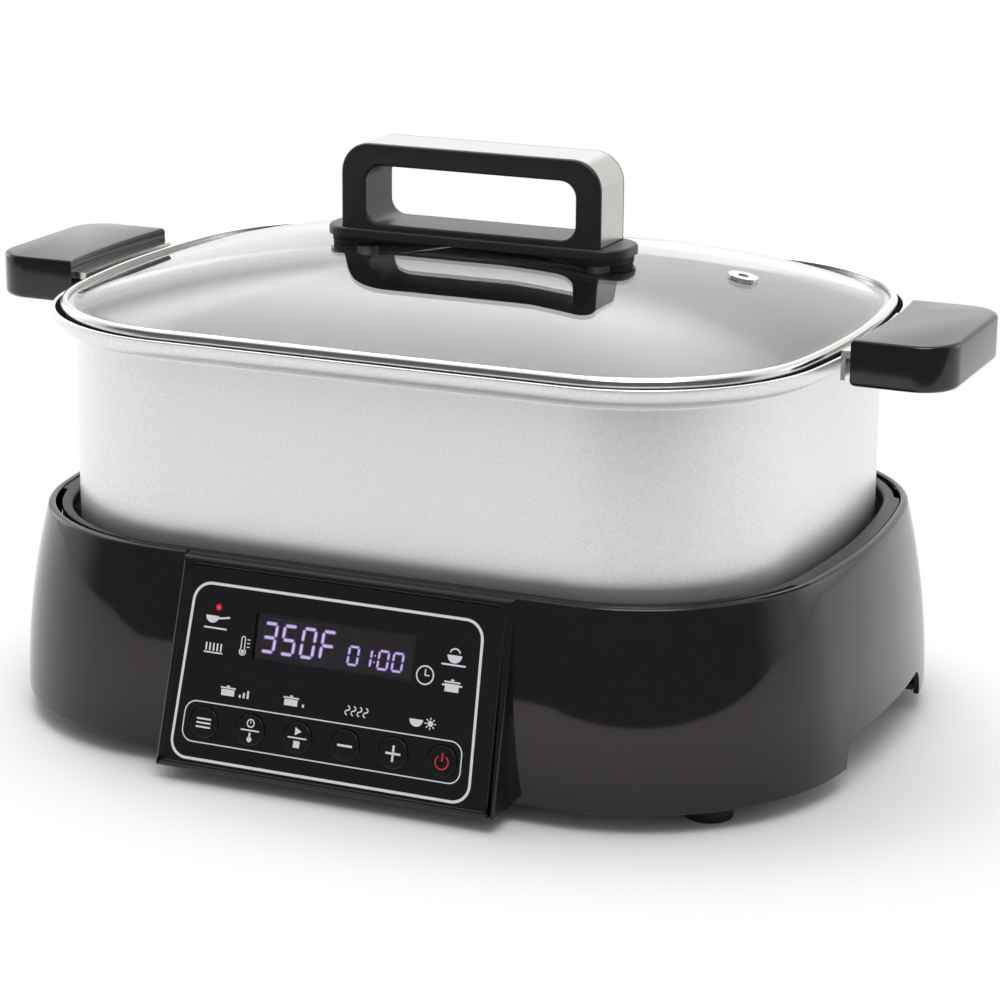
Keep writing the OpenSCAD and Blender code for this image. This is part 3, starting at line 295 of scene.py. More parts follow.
bmesh.ops.create_cone(bore, cap_ends=True, segments=32, radius1=cord_hole, radius2=cord_hole, depth=hole_deep,
                      matrix=cord_spot)
shell = cut_away(shell, bore)
add_piece("skirt_moulding", shell, "base", [gloss_black], ["base_shell"])

# Floor tray, its screws and feet: a flat moulding in grained black plastic, held by four screws
# in the corner posts of the shell, with a turned-down pocket behind each hand hold and four
# rubber feet pushed into its holes. The cord bushing snaps into the rear wall.


def give_finish(material, *names):
    """Gives CAD nodes a finish."""
    for name in names:
        frame["nodes"][name].material_slots[0].material = material


tray_black = new_material("tray_black", (0.018, 0.018, 0.019), 0.55)
give_finish(add_mottle(tray_black, grain=1400, shade=0.25, spread=0.15, bump=0.00004), "base_tray")
rubber = new_material("rubber", (0.012, 0.012, 0.012), 0.75)
give_finish(add_mottle(rubber, grain=900, shade=0.3, spread=0.2, bump=0.00003), "feet", "cord_bushing",
            "handle_gasket")
screw_steel = new_material("screw_steel", (0.55, 0.54, 0.52), 0.32, metallic=1.0)
give_finish(add_mottle(screw_steel, grain=1200, shade=0.15, haze=60, spread=0.2, bump=0.00001),
            "tray_screws", "plate_screws", "board_screws", "grip_screws", "lid_screws", "plate_posts")

# Top ring: a satin black ring that closes the gap between the shell's lip and the pot. Its outer
# edge is set back round each corner and leaves a narrow vent slot there.
satin_black = new_material("satin_black", (0.012, 0.011, 0.012), 0.42, Specular_IOR_Level=0.3)
add_mottle(satin_black, grain=1600, shade=0.2, haze=30, spread=0.08, bump=0.000012)
ring_gap = 0.0003
ring_round = 0.0018
ring_in = 0.0067
slot_w, slot_share = 0.0024, 0.8
ring = bmesh.new()
draw_wire(ring, base_half, [
    (-lip_in - ring_gap, ring_low.z, 0), (-lip_in - ring_gap, ring_high.z, ring_round / 4),
    (-ring_in, ring_high.z, ring_round), (-ring_in, ring_low.z, 0)])
carry_round(ring, base_half, corner_steps=60)
base_corner_x, base_corner_y, base_corner_r, base_end_r = corner_of(base_half)
for vert in ring.verts:
    x, y = abs(vert.co.x) - base_corner_x, abs(vert.co.y - axis_y) - base_corner_y
    turn = math.atan2(y, x)
    out = math.hypot(x, y) - base_corner_r if x > 0 else abs(vert.co.y - axis_y) - base_half[1]
    if turn < end_turn and x > 0:
        out = math.hypot(abs(vert.co.x) - base_half[0] + base_end_r, vert.co.y - axis_y) - base_end_r
    if out < -(lip_in + ring_in) / 2:
        if x > -1e-6:
            vert.co.x -= math.copysign(base_half[0] - rim_half[0], vert.co.x)
    elif x > 0 and abs(turn - end_turn - corner_turn / 2) < slot_share * corner_turn / 2:
        vert.co.x -= math.copysign(slot_w * math.cos(turn), vert.co.x)
        vert.co.y -= math.copysign(slot_w * math.sin(turn), vert.co.y - axis_y)
add_piece("vent_ring", ring, "base", [satin_black], ["top_ring"])

# Well and heater: a drawn aluminised liner holds a cast heater plate on four posts. A bent tube
# element lies in the plate's groove, and a spring-loaded sensor pokes up through its middle.
liner_steel = new_material("liner_steel", (0.58, 0.58, 0.59), 0.38, metallic=1.0)
give_finish(add_mottle(liner_steel, grain=260, shade=0.16, haze=40, spread=0.2, bump=0.00001), "well_liner")
heater_alloy = new_material("heater_alloy", (0.42, 0.42, 0.42), 0.55, metallic=1.0)
give_finish(add_mottle(heater_alloy, grain=700, shade=0.3, haze=25, spread=0.2, bump=0.00006), "heater_plate",
            "sensor_cap")
heater_sheath = new_material("heater_sheath", (0.12, 0.10, 0.09), 0.5, metallic=1.0)
give_finish(add_mottle(heater_sheath, grain=500, shade=0.4, spread=0.2), "heater_tube")
ceramic = new_material("ceramic", (0.80, 0.77, 0.70), 0.45)
give_finish(add_mottle(ceramic, grain=500, shade=0.08, spread=0.1, bump=0.00002),
            "tube_sleeves", "thermal_fuse", "terminal_block")
dark_plastic = new_material("dark_plastic", (0.03, 0.03, 0.032), 0.5)
give_finish(add_mottle(dark_plastic, grain=900, shade=0.2, spread=0.1, bump=0.00002),
            "sensor_guide", "key_switches")
coil_low, coil_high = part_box("sensor_spring")
wire_r, coil_turns, turn_steps = 0.0008, 5, 24
coil = bmesh.new()
bmesh.ops.create_circle(coil, radius=wire_r, segments=10, matrix=Matrix.Translation(
    (coil_high.x - wire_r, axis_y, coil_low.z + wire_r)) @ Matrix.Rotation(math.pi / 2, 4, "X"))
coil_rise = (coil_high.z - coil_low.z - 2 * wire_r) / (coil_turns * turn_steps)
bmesh.ops.spin(coil, geom=coil.verts[:] + coil.edges[:], cent=(0, axis_y, 0), axis=(0, 0, 1),
               dvec=(0, 0, coil_rise), angle=coil_turns * 2 * math.pi, steps=coil_turns * turn_steps)
bmesh.ops.holes_fill(coil, edges=[e for e in coil.edges if e.is_boundary], sides=0)
bmesh.ops.recalc_face_normals(coil, faces=coil.faces)
spring = add_piece("sensor_coil", coil, "base", [screw_steel], ["sensor_spring"])
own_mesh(spring)

# Electronics: green glass-fibre boards with parts soldered on, out of sight in the base and the
# panel. The relay, transformer and capacitors stand on the power board.
board_green = new_material("board_green", (0.02, 0.11, 0.05), 0.35)
give_finish(add_mottle(board_green, grain=420, shade=0.5, haze=150, spread=0.2),
            "power_board", "control_board")
relay_blue = new_material("relay_blue", (0.03, 0.09, 0.30), 0.4)
give_finish(add_mottle(relay_blue, grain=600, shade=0.1, spread=0.1), "relay")
winding = new_material("winding", (0.55, 0.36, 0.06), 0.4)
give_finish(add_mottle(winding, grain=500, shade=0.4, spread=0.1, bump=0.00003), "transformer")
can = new_material("can", (0.02, 0.02, 0.09), 0.3)
give_finish(add_mottle(can, grain=600, shade=0.1, spread=0.1), "capacitors")

# Panel housing: a glossy black frame moulded in one piece, leaning back against the shell. Its
# bezel has a soft outer edge and a finer inner one round the sunk fascia.
press_axis = Vector(next(j for j in frame["joints"] if j["name"] == "key_1_press")["axis"])
fascia_low, fascia_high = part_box("panel_fascia")
fascia_sink, fascia_t = 0.0004, 0.002
panel_out = -press_axis.normalized()
panel_up = panel_out.cross(Vector((1, 0, 0)))
panel_spot = (fascia_low + fascia_high) / 2 + panel_out * (fascia_sink + fascia_t / 2)
panel_turn = Matrix((Vector((1, 0, 0)), panel_up, panel_out)).transposed().to_4x4()
panel = Matrix.Translation(panel_spot) @ panel_turn
frame_w, case_taper = 0.0036, 0.0019
case_half_low, case_half_top = case_high.x, case_high.x - case_taper
case_slope = (fascia_high.z - fascia_low.z) / panel_up.z / 2 + frame_w
bezel_round, inner_round, case_corner = 0.0026, 0.0006, 0.0012


def close_loop(bm, corners, rounding, segments=5):
    """A closed flat wire with rounded corners; returns its edges."""
    before = set(bm.edges)
    verts = [bm.verts.new((x, v, 0)) for x, v in corners]
    link_up(bm, verts)
    round_off(bm, verts, rounding, segments)
    return [e for e in bm.edges if e not in before]


def panel_corners(inset):
    """Corners of the panel's face, a little narrower at the top."""
    return [(-case_half_low + inset, -case_slope + inset), (case_half_low - inset, -case_slope + inset),
            (case_half_top - inset, case_slope - inset), (-case_half_top + inset, case_slope - inset)]


housing = bmesh.new()
outer = close_loop(housing, panel_corners(0), case_corner)
inner = close_loop(housing, panel_corners(frame_w), case_corner)
bmesh.ops.bridge_loops(housing, edges=outer + inner)
bmesh.ops.transform(housing, matrix=panel, verts=housing.verts)
back = bmesh.ops.extrude_face_region(housing, geom=housing.faces[:])["geom"]
case_back = axis_y - base_half[1] + lip_in
for vert in back:
    if isinstance(vert, bmesh.types.BMVert):
        vert.co.y = case_back
bmesh.ops.recalc_face_normals(housing, faces=housing.faces)


def front_edges(outside):
    """Sharp edges in the plane of the panel's face, round its outside or round its opening."""
    found = []
    for edge in housing.edges:
        ends = [panel.inverted() @ vert.co for vert in edge.verts]
        middle = (ends[0] + ends[1]) / 2
        far_out = abs(middle.x) > case_half_top - frame_w / 2 or abs(middle.y) > case_slope - frame_w / 2
        in_plane = all(abs(end.z) < 1e-5 for end in ends)
        if in_plane and far_out == outside and edge.calc_face_angle(0) > 0.9:
            found.append(edge)
    return found


for rounding, outside in ((bezel_round, True), (inner_round, False)):
    round_off(housing, front_edges(outside), rounding, 6, "EDGES")
add_piece("panel_housing", housing, "base", [gloss_black], ["panel_case"])

# Fascia, window, display and lamp: a black acrylic plate in the frame with a tinted window over a
# two-line number display and a small red lamp.
fascia_black = new_material("fascia_black", (0.0085, 0.0082, 0.0105), 0.11)
give_finish(add_mottle(fascia_black, grain=900, shade=0.08, haze=30, spread=0.05), "panel_fascia")
window_tint = new_material("window_tint", (0.42, 0.38, 0.42), 0.025, Transmission_Weight=1.0, IOR=1.45)
give_finish(add_mottle(window_tint, grain=300, shade=0.06, haze=40, spread=0.03), "display_window")
display_face = new_material("display_face", (0.030, 0.026, 0.030), 0.5)
give_finish(add_mottle(display_face, grain=700, shade=0.15, spread=0.1), "display_block")
lamp_red = new_material("lamp_red", (0.30, 0.01, 0.02), 0.25, Emission_Strength=0.8)
give_finish(add_mottle(lamp_red, grain=1500, shade=0.1, spread=0.1), "status_lamp")
lamp_low, lamp_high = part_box("status_lamp")
lamp_tree = lamp_red.node_tree
lamp_place = add_node(lamp_tree, "TexCoord")
lamp_spot = panel @ (panel.inverted() @ ((lamp_low + lamp_high) / 2) * Vector((1, 1, 0)))
from_axis = add_node(lamp_tree, "VectorMath", "DISTANCE", {1: lamp_spot})


def add_ramp(tree, start, stop, low=0.0, high=1.0, kind="SMOOTHSTEP"):
    """A node that goes from low at the start to high at the stop."""
    ramp = add_node(tree, "MapRange", values={
        "From Min": start, "From Max": stop, "To Min": low, "To Max": high})
    ramp.interpolation_type = kind
    return ramp


glow_r, lamp_r = 0.0005, 0.0013
glow = add_ramp(lamp_tree, glow_r, lamp_r, kind="LINEAR")
glow_color = add_node(lamp_tree, "Mix", values={6: (1.0, 0.16, 0.24, 1), 7: (0.28, 0.0, 0.006, 1)})
glow_color.data_type = "RGBA"
connect(lamp_tree, (lamp_place, "Object", from_axis, 0), (from_axis, "Value", glow, "Value"),
        (glow, 0, glow_color, 0), (glow_color, 2, lamp_tree.nodes["Principled BSDF"], "Emission Color"))

# Display digits: bars of light behind the window, slanted as on any such display. Bars that are
# off stay faintly visible. Round those that are on, a dim violet glow is painted: a slightly larger
# light-giving copy of each lit bar that stands for the light spilling round it.
digit_on = new_material("digit_on", (0.9, 0.9, 1.0), 0.5, Emission_Color=(0.80, 0.78, 1.0, 1),
                        Emission_Strength=1.5)
# painted glow: the spill layer gives light round the lit bars
digit_spill = new_material("digit_spill", (0.2, 0.16, 0.6), 0.5, Emission_Color=(0.20, 0.12, 0.75, 1),
                           Emission_Strength=0.5)
digit_off = new_material("digit_off", (0.055, 0.05, 0.055), 0.5)
for digit in (digit_on, digit_spill, digit_off):
    add_mottle(digit, grain=1500, shade=0.1, spread=0.1)
display_w, light_t = -0.00275, 0.00001
lit_w, spill_w, dark_w = 0.00004, 0.00001, 0.00002
digit_slant = 0.07
bar_cut, bar_gap, spill_grow = 0.42, 0.5, 0.0007
big_size, big_x, big_v, big_pitch = (0.0065, 0.0127, 0.00118), -0.0314, 0.0149, 0.0088
small_size, small_v = (0.0049, 0.0080, 0.00078), 0.0126
colon_x, colon_v, colon_size = 0.0164, (0.0113, 0.0139), 0.0007
bars_of = {"0": "abcdef", "1": "bc", "3": "abcdg", "5": "acdfg", "F": "aefg"}


def lay_bar(bm, x, v, long, thick, upright, w, grow=0.0):
    """One flat bar with cut corners."""
    turn = Matrix.Rotation(math.pi / 2, 4, "Z") if upright else Matrix.Identity(4)
    size = Matrix.Diagonal(((long + grow) / 2, (thick + grow) / 2, 1, 1))
    bar = bmesh.ops.create_grid(bm, x_segments=1, y_segments=1, size=1,
                                matrix=Matrix.Translation((x, v, w)) @ turn @ size)["verts"]
    round_off(bm, bar, thick * bar_cut, 1)


def lay_digit(layers, sign, x, v, wide, high, thick):
    """The seven bars of one digit, in the layers for lit bars, their spill and dark bars."""
    lit, spill, dark = layers
    for bar, (bx, bv, upright) in {"a": (0, 1, False), "g": (0, 0, False), "d": (0, -1, False),
                                   "f": (-1, 0.5, True), "b": (1, 0.5, True),
                                   "e": (-1, -0.5, True), "c": (1, -0.5, True)}.items():
        long = (high / 2 if upright else wide) - thick - thick * bar_gap
        spot = (x + bx * (wide - thick) / 2, v + bv * (high - thick) / 2)
        if bar in bars_of[sign]:
            lay_bar(lit, *spot, long, thick, upright, lit_w)
            # painted glow round the lit bar, a grown copy that gives light
            lay_bar(spill, *spot, long, thick, upright, spill_w, grow=spill_grow)
        else:
            lay_bar(dark, *spot, long, thick, upright, dark_w)


layers = [bmesh.new() for _ in range(3)]
for number, sign in enumerate("350F"):
    lay_digit(layers, sign, big_x + number * big_pitch, big_v, *big_size)
for x, sign in ((0.0069, "0"), (0.0127, "1"), (0.0202, "0"), (0.0266, "0")):
    lay_digit(layers, sign, x, small_v, *small_size)
for v in colon_v:
    lay_bar(layers[0], colon_x, v, colon_size, colon_size, False, lit_w)
for name, layer, material in zip(("digits_on", "digits_spill", "digits_off"), layers,
                                 (digit_on, digit_spill, digit_off)):
    for vert in layer.verts:
        vert.co.x += digit_slant * (vert.co.y - small_v)
    bmesh.ops.solidify(layer, geom=layer.faces[:], thickness=light_t)
    bmesh.ops.recalc_face_normals(layer, faces=layer.faces)
    bmesh.ops.transform(layer, matrix=panel @ Matrix.Translation((0, 0, display_w)), verts=layer.verts)
    add_piece(name, layer, "base", [material])

# Fascia print: white lines and plain signs screened on the fascia. A broad line frames the whole
# face, a fine one the row of buttons, and a sign for each cooking mode stands round the display.
# Places and sizes here are in millimetres from the middle of the panel.
print_white = new_material("print_white", (0.66, 0.68, 0.70), 0.45)
add_mottle(print_white, grain=1500, shade=0.06, spread=0.1)
ink_t = 0.04


def line_loop(bm, corners, rounding, thick):
    """A closed line with rounded corners."""
    middle = Vector(corners[0]).lerp(Vector(corners[2]), 0.5)
    loops = []
    for grow in (thick / 2, -thick / 2):
        pulled = [(x + grow * math.copysign(1, x - middle.x), v + grow * math.copysign(1, v - middle.y))
                  for x, v in corners]
        loops += close_loop(bm, pulled, rounding + grow, segments=10)
    bmesh.ops.bridge_loops(bm, edges=loops)


def ink_bar(bm, x, v, long, thick, turn=0.0):
    """A straight stroke about a middle point."""
    bmesh.ops.create_grid(bm, x_segments=1, y_segments=1, size=1, matrix=Matrix.Translation((x, v, 0))
                          @ Matrix.Rotation(math.radians(turn), 4, "Z")
                          @ Matrix.Diagonal((long / 2, thick / 2, 1, 1)))


def ink_arc(bm, x, v, inner, outer, start=0.0, sweep=360.0):
    """A ring, a disc or a part of one."""
    turn = math.radians(start)
    ends = [bm.verts.new((x + r * math.cos(turn), v + r * math.sin(turn), 0)) for r in (inner, outer)]
    stroke = bm.edges.new(ends)
    bmesh.ops.spin(bm, geom=[*ends, stroke], cent=(x, v, 0), axis=(0, 0, 1), dvec=(0, 0, 0),
                   angle=math.radians(sweep), steps=int(sweep / 10))


def print_on(name, bm, body, material, level):
    """Closes the flat signs, puts them on the panel at a level and lets them ride."""
    bmesh.ops.remove_doubles(bm, verts=bm.verts, dist=1e-4)
    bmesh.ops.recalc_face_normals(bm, faces=bm.faces)
    flipped = [face for face in bm.faces if face.normal.z < 0]
    bmesh.ops.reverse_faces(bm, faces=flipped)
    bmesh.ops.solidify(bm, geom=bm.faces[:], thickness=ink_t)
    bmesh.ops.recalc_face_normals(bm, faces=bm.faces)
    bmesh.ops.transform(bm, verts=bm.verts, matrix=panel @ Matrix.Translation((0, 0, level))
                        @ Matrix.Scale(0.001, 4) @ Matrix.Translation((0, 0, ink_t)))
    add_piece(name, bm, body, [material])


lines = bmesh.new()
line_loop(lines, [(-69.4, -38.6), (64.8, -38.6), (62.2, 33.6), (-66.4, 33.6)], 7.5, 1.15)
line_loop(lines, [(-65.0, -31.6), (60.0, -31.6), (59.5, -14.9), (-64.5, -14.9)], 5.0, 0.5)
for x, v in ((-55.4, 15.6), (51.5, 15.0)):
    ink_bar(lines, x, v, 10.5, 0.7)
print_on("fascia_lines", lines, "base", print_white, -fascia_sink)
signs = bmesh.new()
# pan and grill bars
ink_arc(signs, -57.2, 20.6, 0, 3.0, 180, 180)
ink_bar(signs, -51.9, 20.1, 5.4, 0.8, 10)
for step in range(5):
    ink_bar(signs, -58.5 + 1.7 * step, 7.9, 3.2, 0.7, 90)
ink_bar(signs, -55.1, 5.6, 8.6, 0.6)
# thermometer and clock
ink_arc(signs, -41.9, 7.7, 0, 0.8)
ink_arc(signs, -41.9, 7.7, 1.1, 1.6, 120, 300)
for side in (-0.8, 0.8):
    ink_bar(signs, -41.9 + side, 11.1, 4.2, 0.45, 90)
ink_arc(signs, -41.9, 13.1, 0.6, 1.05, 0, 180)
for step in range(3):
    ink_bar(signs, -39.5, 9.8 + 1.5 * step, 1.3, 0.4)
ink_arc(signs, 39.8, 9.4, 3.35, 3.95)
ink_bar(signs, 39.8, 10.6, 2.6, 0.5, 90)
ink_bar(signs, 40.7, 9.4, 2.0, 0.5)
# bowl and stewing pot
ink_arc(signs, 51.6, 18.9, 0, 3.2, 180, 180)
ink_arc(signs, 51.6, 19.3, 1.9, 2.5, 15, 150)
ink_bar(signs, 51.9, 5.9, 6.0, 3.2)
ink_bar(signs, 51.9, 8.2, 7.0, 0.6)
for x, v, long in ((51.9, 9.0, 1.4), (48.2, 6.9, 1.4), (55.6, 6.9, 1.4)):
    ink_bar(signs, x, v, long, 0.7)
# pots on high and low heat
for x, bars in ((-46.2, 3), (-17.4, 1)):
    ink_bar(signs, x, -9.7, 6.0, 2.6)
    ink_bar(signs, x, -7.8, 7.0, 0.6)
    ink_bar(signs, x, -7.1, 1.4, 0.6)
    for step in range(bars):
        ink_bar(signs, x + 5.6 + 1.8 * step, -10.4 + 0.5 * step, 1.2 + step, 0.9, 90)
# steam and a warm bowl
for step in range(4):
    ink_arc(signs, 8.0 + 2.7 * step, -8.3, 0.65, 1.15, -90, 180)
    ink_arc(signs, 8.0 + 2.7 * step, -10.1, 0.65, 1.15, 90, 180)
ink_arc(signs, 38.4, -8.4, 0, 3.0, 180, 180)
ink_arc(signs, 44.6, -9.4, 0, 1.2)
for step in range(8):
    turn = math.radians(45 * step)
    ink_bar(signs, 44.6 + 2.0 * math.cos(turn), -9.4 + 2.0 * math.sin(turn), 0.9, 0.45, 45 * step)
print_on("fascia_signs", signs, "base", print_white, -fascia_sink)

# Buttons: six soft-edged black caps that stand just proud of the fascia. A collar behind the fascia
# keeps each one in, and a stem presses the switch on the board.
key_black = new_material("key_black", (0.0072, 0.0070, 0.0088), 0.16)
add_mottle(key_black, grain=1500, shade=0.15, spread=0.1, bump=0.00001)
print_red = new_material("print_red", (0.50, 0.020, 0.022), 0.45)
add_mottle(print_red, grain=1500, shade=0.06, spread=0.1)
key_r, key_round, key_rise = 0.0063, 0.0003, 0.0003
collar_r, collar_t = 0.0077, 0.0008
stem_r = 0.002
for number in range(1, 7):
    low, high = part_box(f"key_{number}")
    spot = panel.inverted() @ ((low + high) / 2)
    deep = (high.y - low.y - 2 * collar_r * panel_up.y) / panel_up.z
    face_w = key_rise - fascia_sink
    collar_w = -fascia_sink - fascia_t - collar_t
    cap = bmesh.new()
    points = [(0, face_w, 0), (key_r, face_w, key_round), (key_r, collar_w + collar_t, 0),
              (collar_r, collar_w + collar_t, 0), (collar_r, collar_w, 0), (stem_r, collar_w, 0),
              (stem_r, face_w - deep, 0), (0, face_w - deep, 0)]
    corners = [cap.verts.new((r, 0, w)) for r, w, _ in points]
    link_up(cap, corners, closed=False)
    round_off(cap, [corners[1]], key_round, 5)
    bmesh.ops.spin(cap, geom=cap.verts[:] + cap.edges[:], cent=(0, 0, 0), axis=(0, 0, 1), dvec=(0, 0, 0),
                   angle=2 * math.pi, steps=48, use_merge=True)
    bmesh.ops.remove_doubles(cap, verts=cap.verts, dist=1e-6)
    bmesh.ops.recalc_face_normals(cap, faces=cap.faces)
    bmesh.ops.transform(cap, matrix=panel @ Matrix.Translation((spot.x, spot.y, 0)), verts=cap.verts)
    add_piece(f"button_cap_{number}", cap, f"key_{number}_body", [key_black], [f"key_{number}"])
    mark = bmesh.new()
    x, v = spot.x * 1000, spot.y * 1000
    if number == 1:
        for step in (-1.7, 0, 1.7):
            ink_bar(mark, x, v + step, 6.6, 0.7)
    elif number == 2:
        ink_arc(mark, x, v + 2.9, 1.3, 1.8)
        ink_bar(mark, x, v + 3.3, 0.9, 0.4, 90)
        ink_bar(mark, x, v, 8.4, 0.6)
        ink_bar(mark, x, v - 2.2, 2.6, 0.8, 90)
        ink_arc(mark, x, v - 3.7, 0, 1.1)
    elif number == 3:
        bmesh.ops.create_circle(mark, cap_ends=True, radius=1.9, segments=3, matrix=Matrix.Translation(
            (x - 0.2, v + 2.7, 0)) @ Matrix.Rotation(-math.pi / 2, 4, "Z"))
        ink_bar(mark, x, v, 8.4, 0.6)
        ink_bar(mark, x, v - 2.6, 2.8, 2.8)
    elif number < 6:
        ink_bar(mark, x, v, 6.6, 0.9)
        if number == 5:
            ink_bar(mark, x, v, 6.6, 0.9, 90)
    else:
        ink_arc(mark, x, v - 0.3, 2.5, 3.1, 128, 284)
        ink_bar(mark, x, v + 1.8, 3.4, 0.7, 90)
    ink = print_red if number == 6 else print_white
    print_on(f"button_mark_{number}", mark, f"key_{number}_body", ink, face_w)

# Pot: one drawn aluminium vessel, lacquered silver outside and coated black inside. Its wall
# turns out into a ledge for the lid and up into the rim.
pot_silver = new_material("pot_silver", (0.765, 0.753, 0.760), 0.35, metallic=0.75)
add_mottle(pot_silver, grain=1000, shade=0.3, haze=12, spread=0.06, bump=0.00002)
pot_coat = new_material("pot_coat", (0.013, 0.013, 0.016), 0.48, Specular_IOR_Level=0.25)
add_mottle(pot_coat, grain=1500, shade=0.2, spread=0.08)
pot_floor, pot_wall, pot_round = 0.0025, 0.0016, 0.018
flange_w, flange_round, flange_z, ledge_z = 0.010, 0.0084, 0.1692, 0.1708
neck_round, ledge_round, brim_round = 0.0015, 0.001, pot_wall / 3
pot_mid = 0.068
pot = bmesh.new()
coated = pot.verts.layers.int.new("coated")
inside, floor_z = -flange_w - pot_wall, pot_low.z + pot_floor
draw_wire(pot, rim_half, [
    (-pot_mid, pot_low.z, 0), (-flange_w, pot_low.z, pot_round), (-flange_w, flange_z, neck_round),
    (0, flange_z, flange_round), (0, pot_high.z, brim_round), (-pot_wall, pot_high.z, brim_round),
    (-pot_wall, ledge_z, flange_round - pot_wall), (inside, ledge_z, ledge_round),
    (inside, floor_z, pot_round - pot_wall), (-pot_mid, floor_z, 0)], closed=False)
# the coat starts at the rim's inner edge: the wire is walked from under the floor up and over
vert, passed = min(pot.verts, key=lambda v: (v.co.y, v.co.z)), None
coat = 0
while vert:
    inward = axis_y + rim_half[1] - vert.co.y
    if inward > pot_wall - 1e-6 and vert.co.z > flange_z + flange_round / 2:
        coat = 1
    vert[coated] = coat
    onward = [e.other_vert(vert) for e in vert.link_edges if e.other_vert(vert) != passed]
    passed, vert = vert, onward[0] if onward else None
carry_round(pot, rim_half, corner_steps=40, end_steps=20, side_steps=10)
bmesh.ops.holes_fill(pot, edges=[e for e in pot.edges if e.is_boundary], sides=0)
bmesh.ops.recalc_face_normals(pot, faces=pot.faces)
for face in pot.faces:
    face.material_index = int(all(vert[coated] for vert in face.verts))
add_piece("cooking_pot", pot, "pot_body", [pot_silver, pot_coat], ["pot"])

# Grips: a glossy black block at each end with rounded outer corners, held from below by two screws
# on a steel bracket that is spot-welded to the pot's rim.
trim_steel = new_material("trim_steel", (0.74, 0.725, 0.70), 0.18, metallic=1.0)
add_mottle(trim_steel, grain=900, shade=0.06, haze=25, spread=0.06)
give_finish(trim_steel, "bracket_left", "bracket_right", "steam_eyelet")
grip_black = new_material("grip_black", (0.010, 0.009, 0.011), 0.11, Specular_IOR_Level=0.5)
add_mottle(grip_black, grain=800, shade=0.15, haze=18, spread=0.05, bump=0.000004)
grip_low, grip_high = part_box("grip_right")
grip_gap, grip_corner = 0.0055, 0.016
grip_top_round, grip_low_round = 0.0018, 0.0026
arc_steps = 8
rim_end_r = corner_of(rim_half)[3]


def raise_faces(bm, vec):
    """Extrudes every face along a vector."""
    raised = bmesh.ops.extrude_face_region(bm, geom=bm.faces[:])["geom"]
    bmesh.ops.translate(bm, vec=vec, verts=[v for v in raised if isinstance(v, bmesh.types.BMVert)])


for side, node in ((1, "grip_right"), (-1, "grip_left")):
    block = bmesh.new()
    reach = (grip_high.y - grip_low.y) / 2
    arc = rim_end_r + grip_gap
    arc_x = rim_half[0] - rim_end_r
    across = [i / arc_steps * reach for i in range(arc_steps, -arc_steps - 1, -1)]
    hollow = [(arc_x + math.sqrt(arc ** 2 - y ** 2), y) for y in across]
    plan = [block.verts.new((x, axis_y + y, grip_low.z))
            for x, y in [(grip_high.x, -reach), (grip_high.x, reach), *hollow]]
    link_up(block, plan)
    round_off(block, plan[:2], grip_corner, 12)
    bmesh.ops.contextual_create(block, geom=block.edges[:])
    raise_faces(block, (0, 0, grip_high.z - grip_low.z))
    bmesh.ops.recalc_face_normals(block, faces=block.faces)
    for level, rounding in ((grip_high.z, grip_top_round), (grip_low.z, grip_low_round)):
        round_off(block, [e for e in block.edges if all(abs(v.co.z - level) < 1e-6 for v in e.verts)],
                  rounding, 5, "EDGES")
    if side < 0:
        bmesh.ops.transform(block, matrix=Matrix.Diagonal((-1, 1, 1, 1)), verts=block.verts)
        bmesh.ops.recalc_face_normals(block, faces=block.faces)
    add_piece(f"{node}_block", block, "pot_body", [grip_black], [node])

# Lid glass: a slumped dome of tempered glass with a flat edge, drilled for the handle screws and
# the steam eyelet, which is riveted in. The eyelet and the screws fill the holes, so the mesh has none.
lid_clear = new_material("lid_clear", (0.93, 0.95, 0.96), 0.01, Transmission_Weight=1.0, IOR=1.5)
add_mottle(lid_clear, grain=120, shade=0.01, haze=9, spread=0.02)
glass_low, glass_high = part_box("lid_glass")
glass_in, band_in, glass_t, dome_pow = 0.0055, 0.0096, 0.004, 2.4
glass_edge = glass_low.z + glass_t
dome_h = glass_high.z - glass_edge
dome = bmesh.new()
dome.verts.new((0, axis_y + rim_half[1] - glass_in, glass_edge))
carry_round(dome, rim_half, corner_steps=24, end_steps=12, side_steps=8)
loop = dome.edges[:]
span = [(half - band_in) / (half - glass_in) for half in rim_half]
shares = [1.0, 0.985, 0.96, 0.93, 0.89, 0.84, 0.78, 0.71, 0.63, 0.54, 0.44, 0.33, 0.22, 0.11, 0.04]
last = 1.0
for number, share in enumerate(shares):
    grown = bmesh.ops.extrude_edge_only(dome, edges=loop)["geom"]
    loop = [e for e in grown if isinstance(e, bmesh.types.BMEdge)]
    shrink = span if number == 0 else [share / last] * 2
    for vert in grown:
        if isinstance(vert, bmesh.types.BMVert):
            vert.co.x *= shrink[0]
            vert.co.y = axis_y + (vert.co.y - axis_y) * shrink[1]
            vert.co.z = glass_edge + dome_h * (1 - share ** dome_pow)
    last = share
bmesh.ops.contextual_create(dome, geom=loop)
bmesh.ops.recalc_face_normals(dome, faces=dome.faces)
if max(dome.faces, key=lambda f: f.calc_center_median().z).normal.z < 0:
    bmesh.ops.reverse_faces(dome, faces=dome.faces)
bmesh.ops.solidify(dome, geom=dome.faces[:], thickness=glass_t)
bmesh.ops.recalc_face_normals(dome, faces=dome.faces)
add_piece("glass_dome", dome, "lid", [lid_clear], ["lid_glass"])

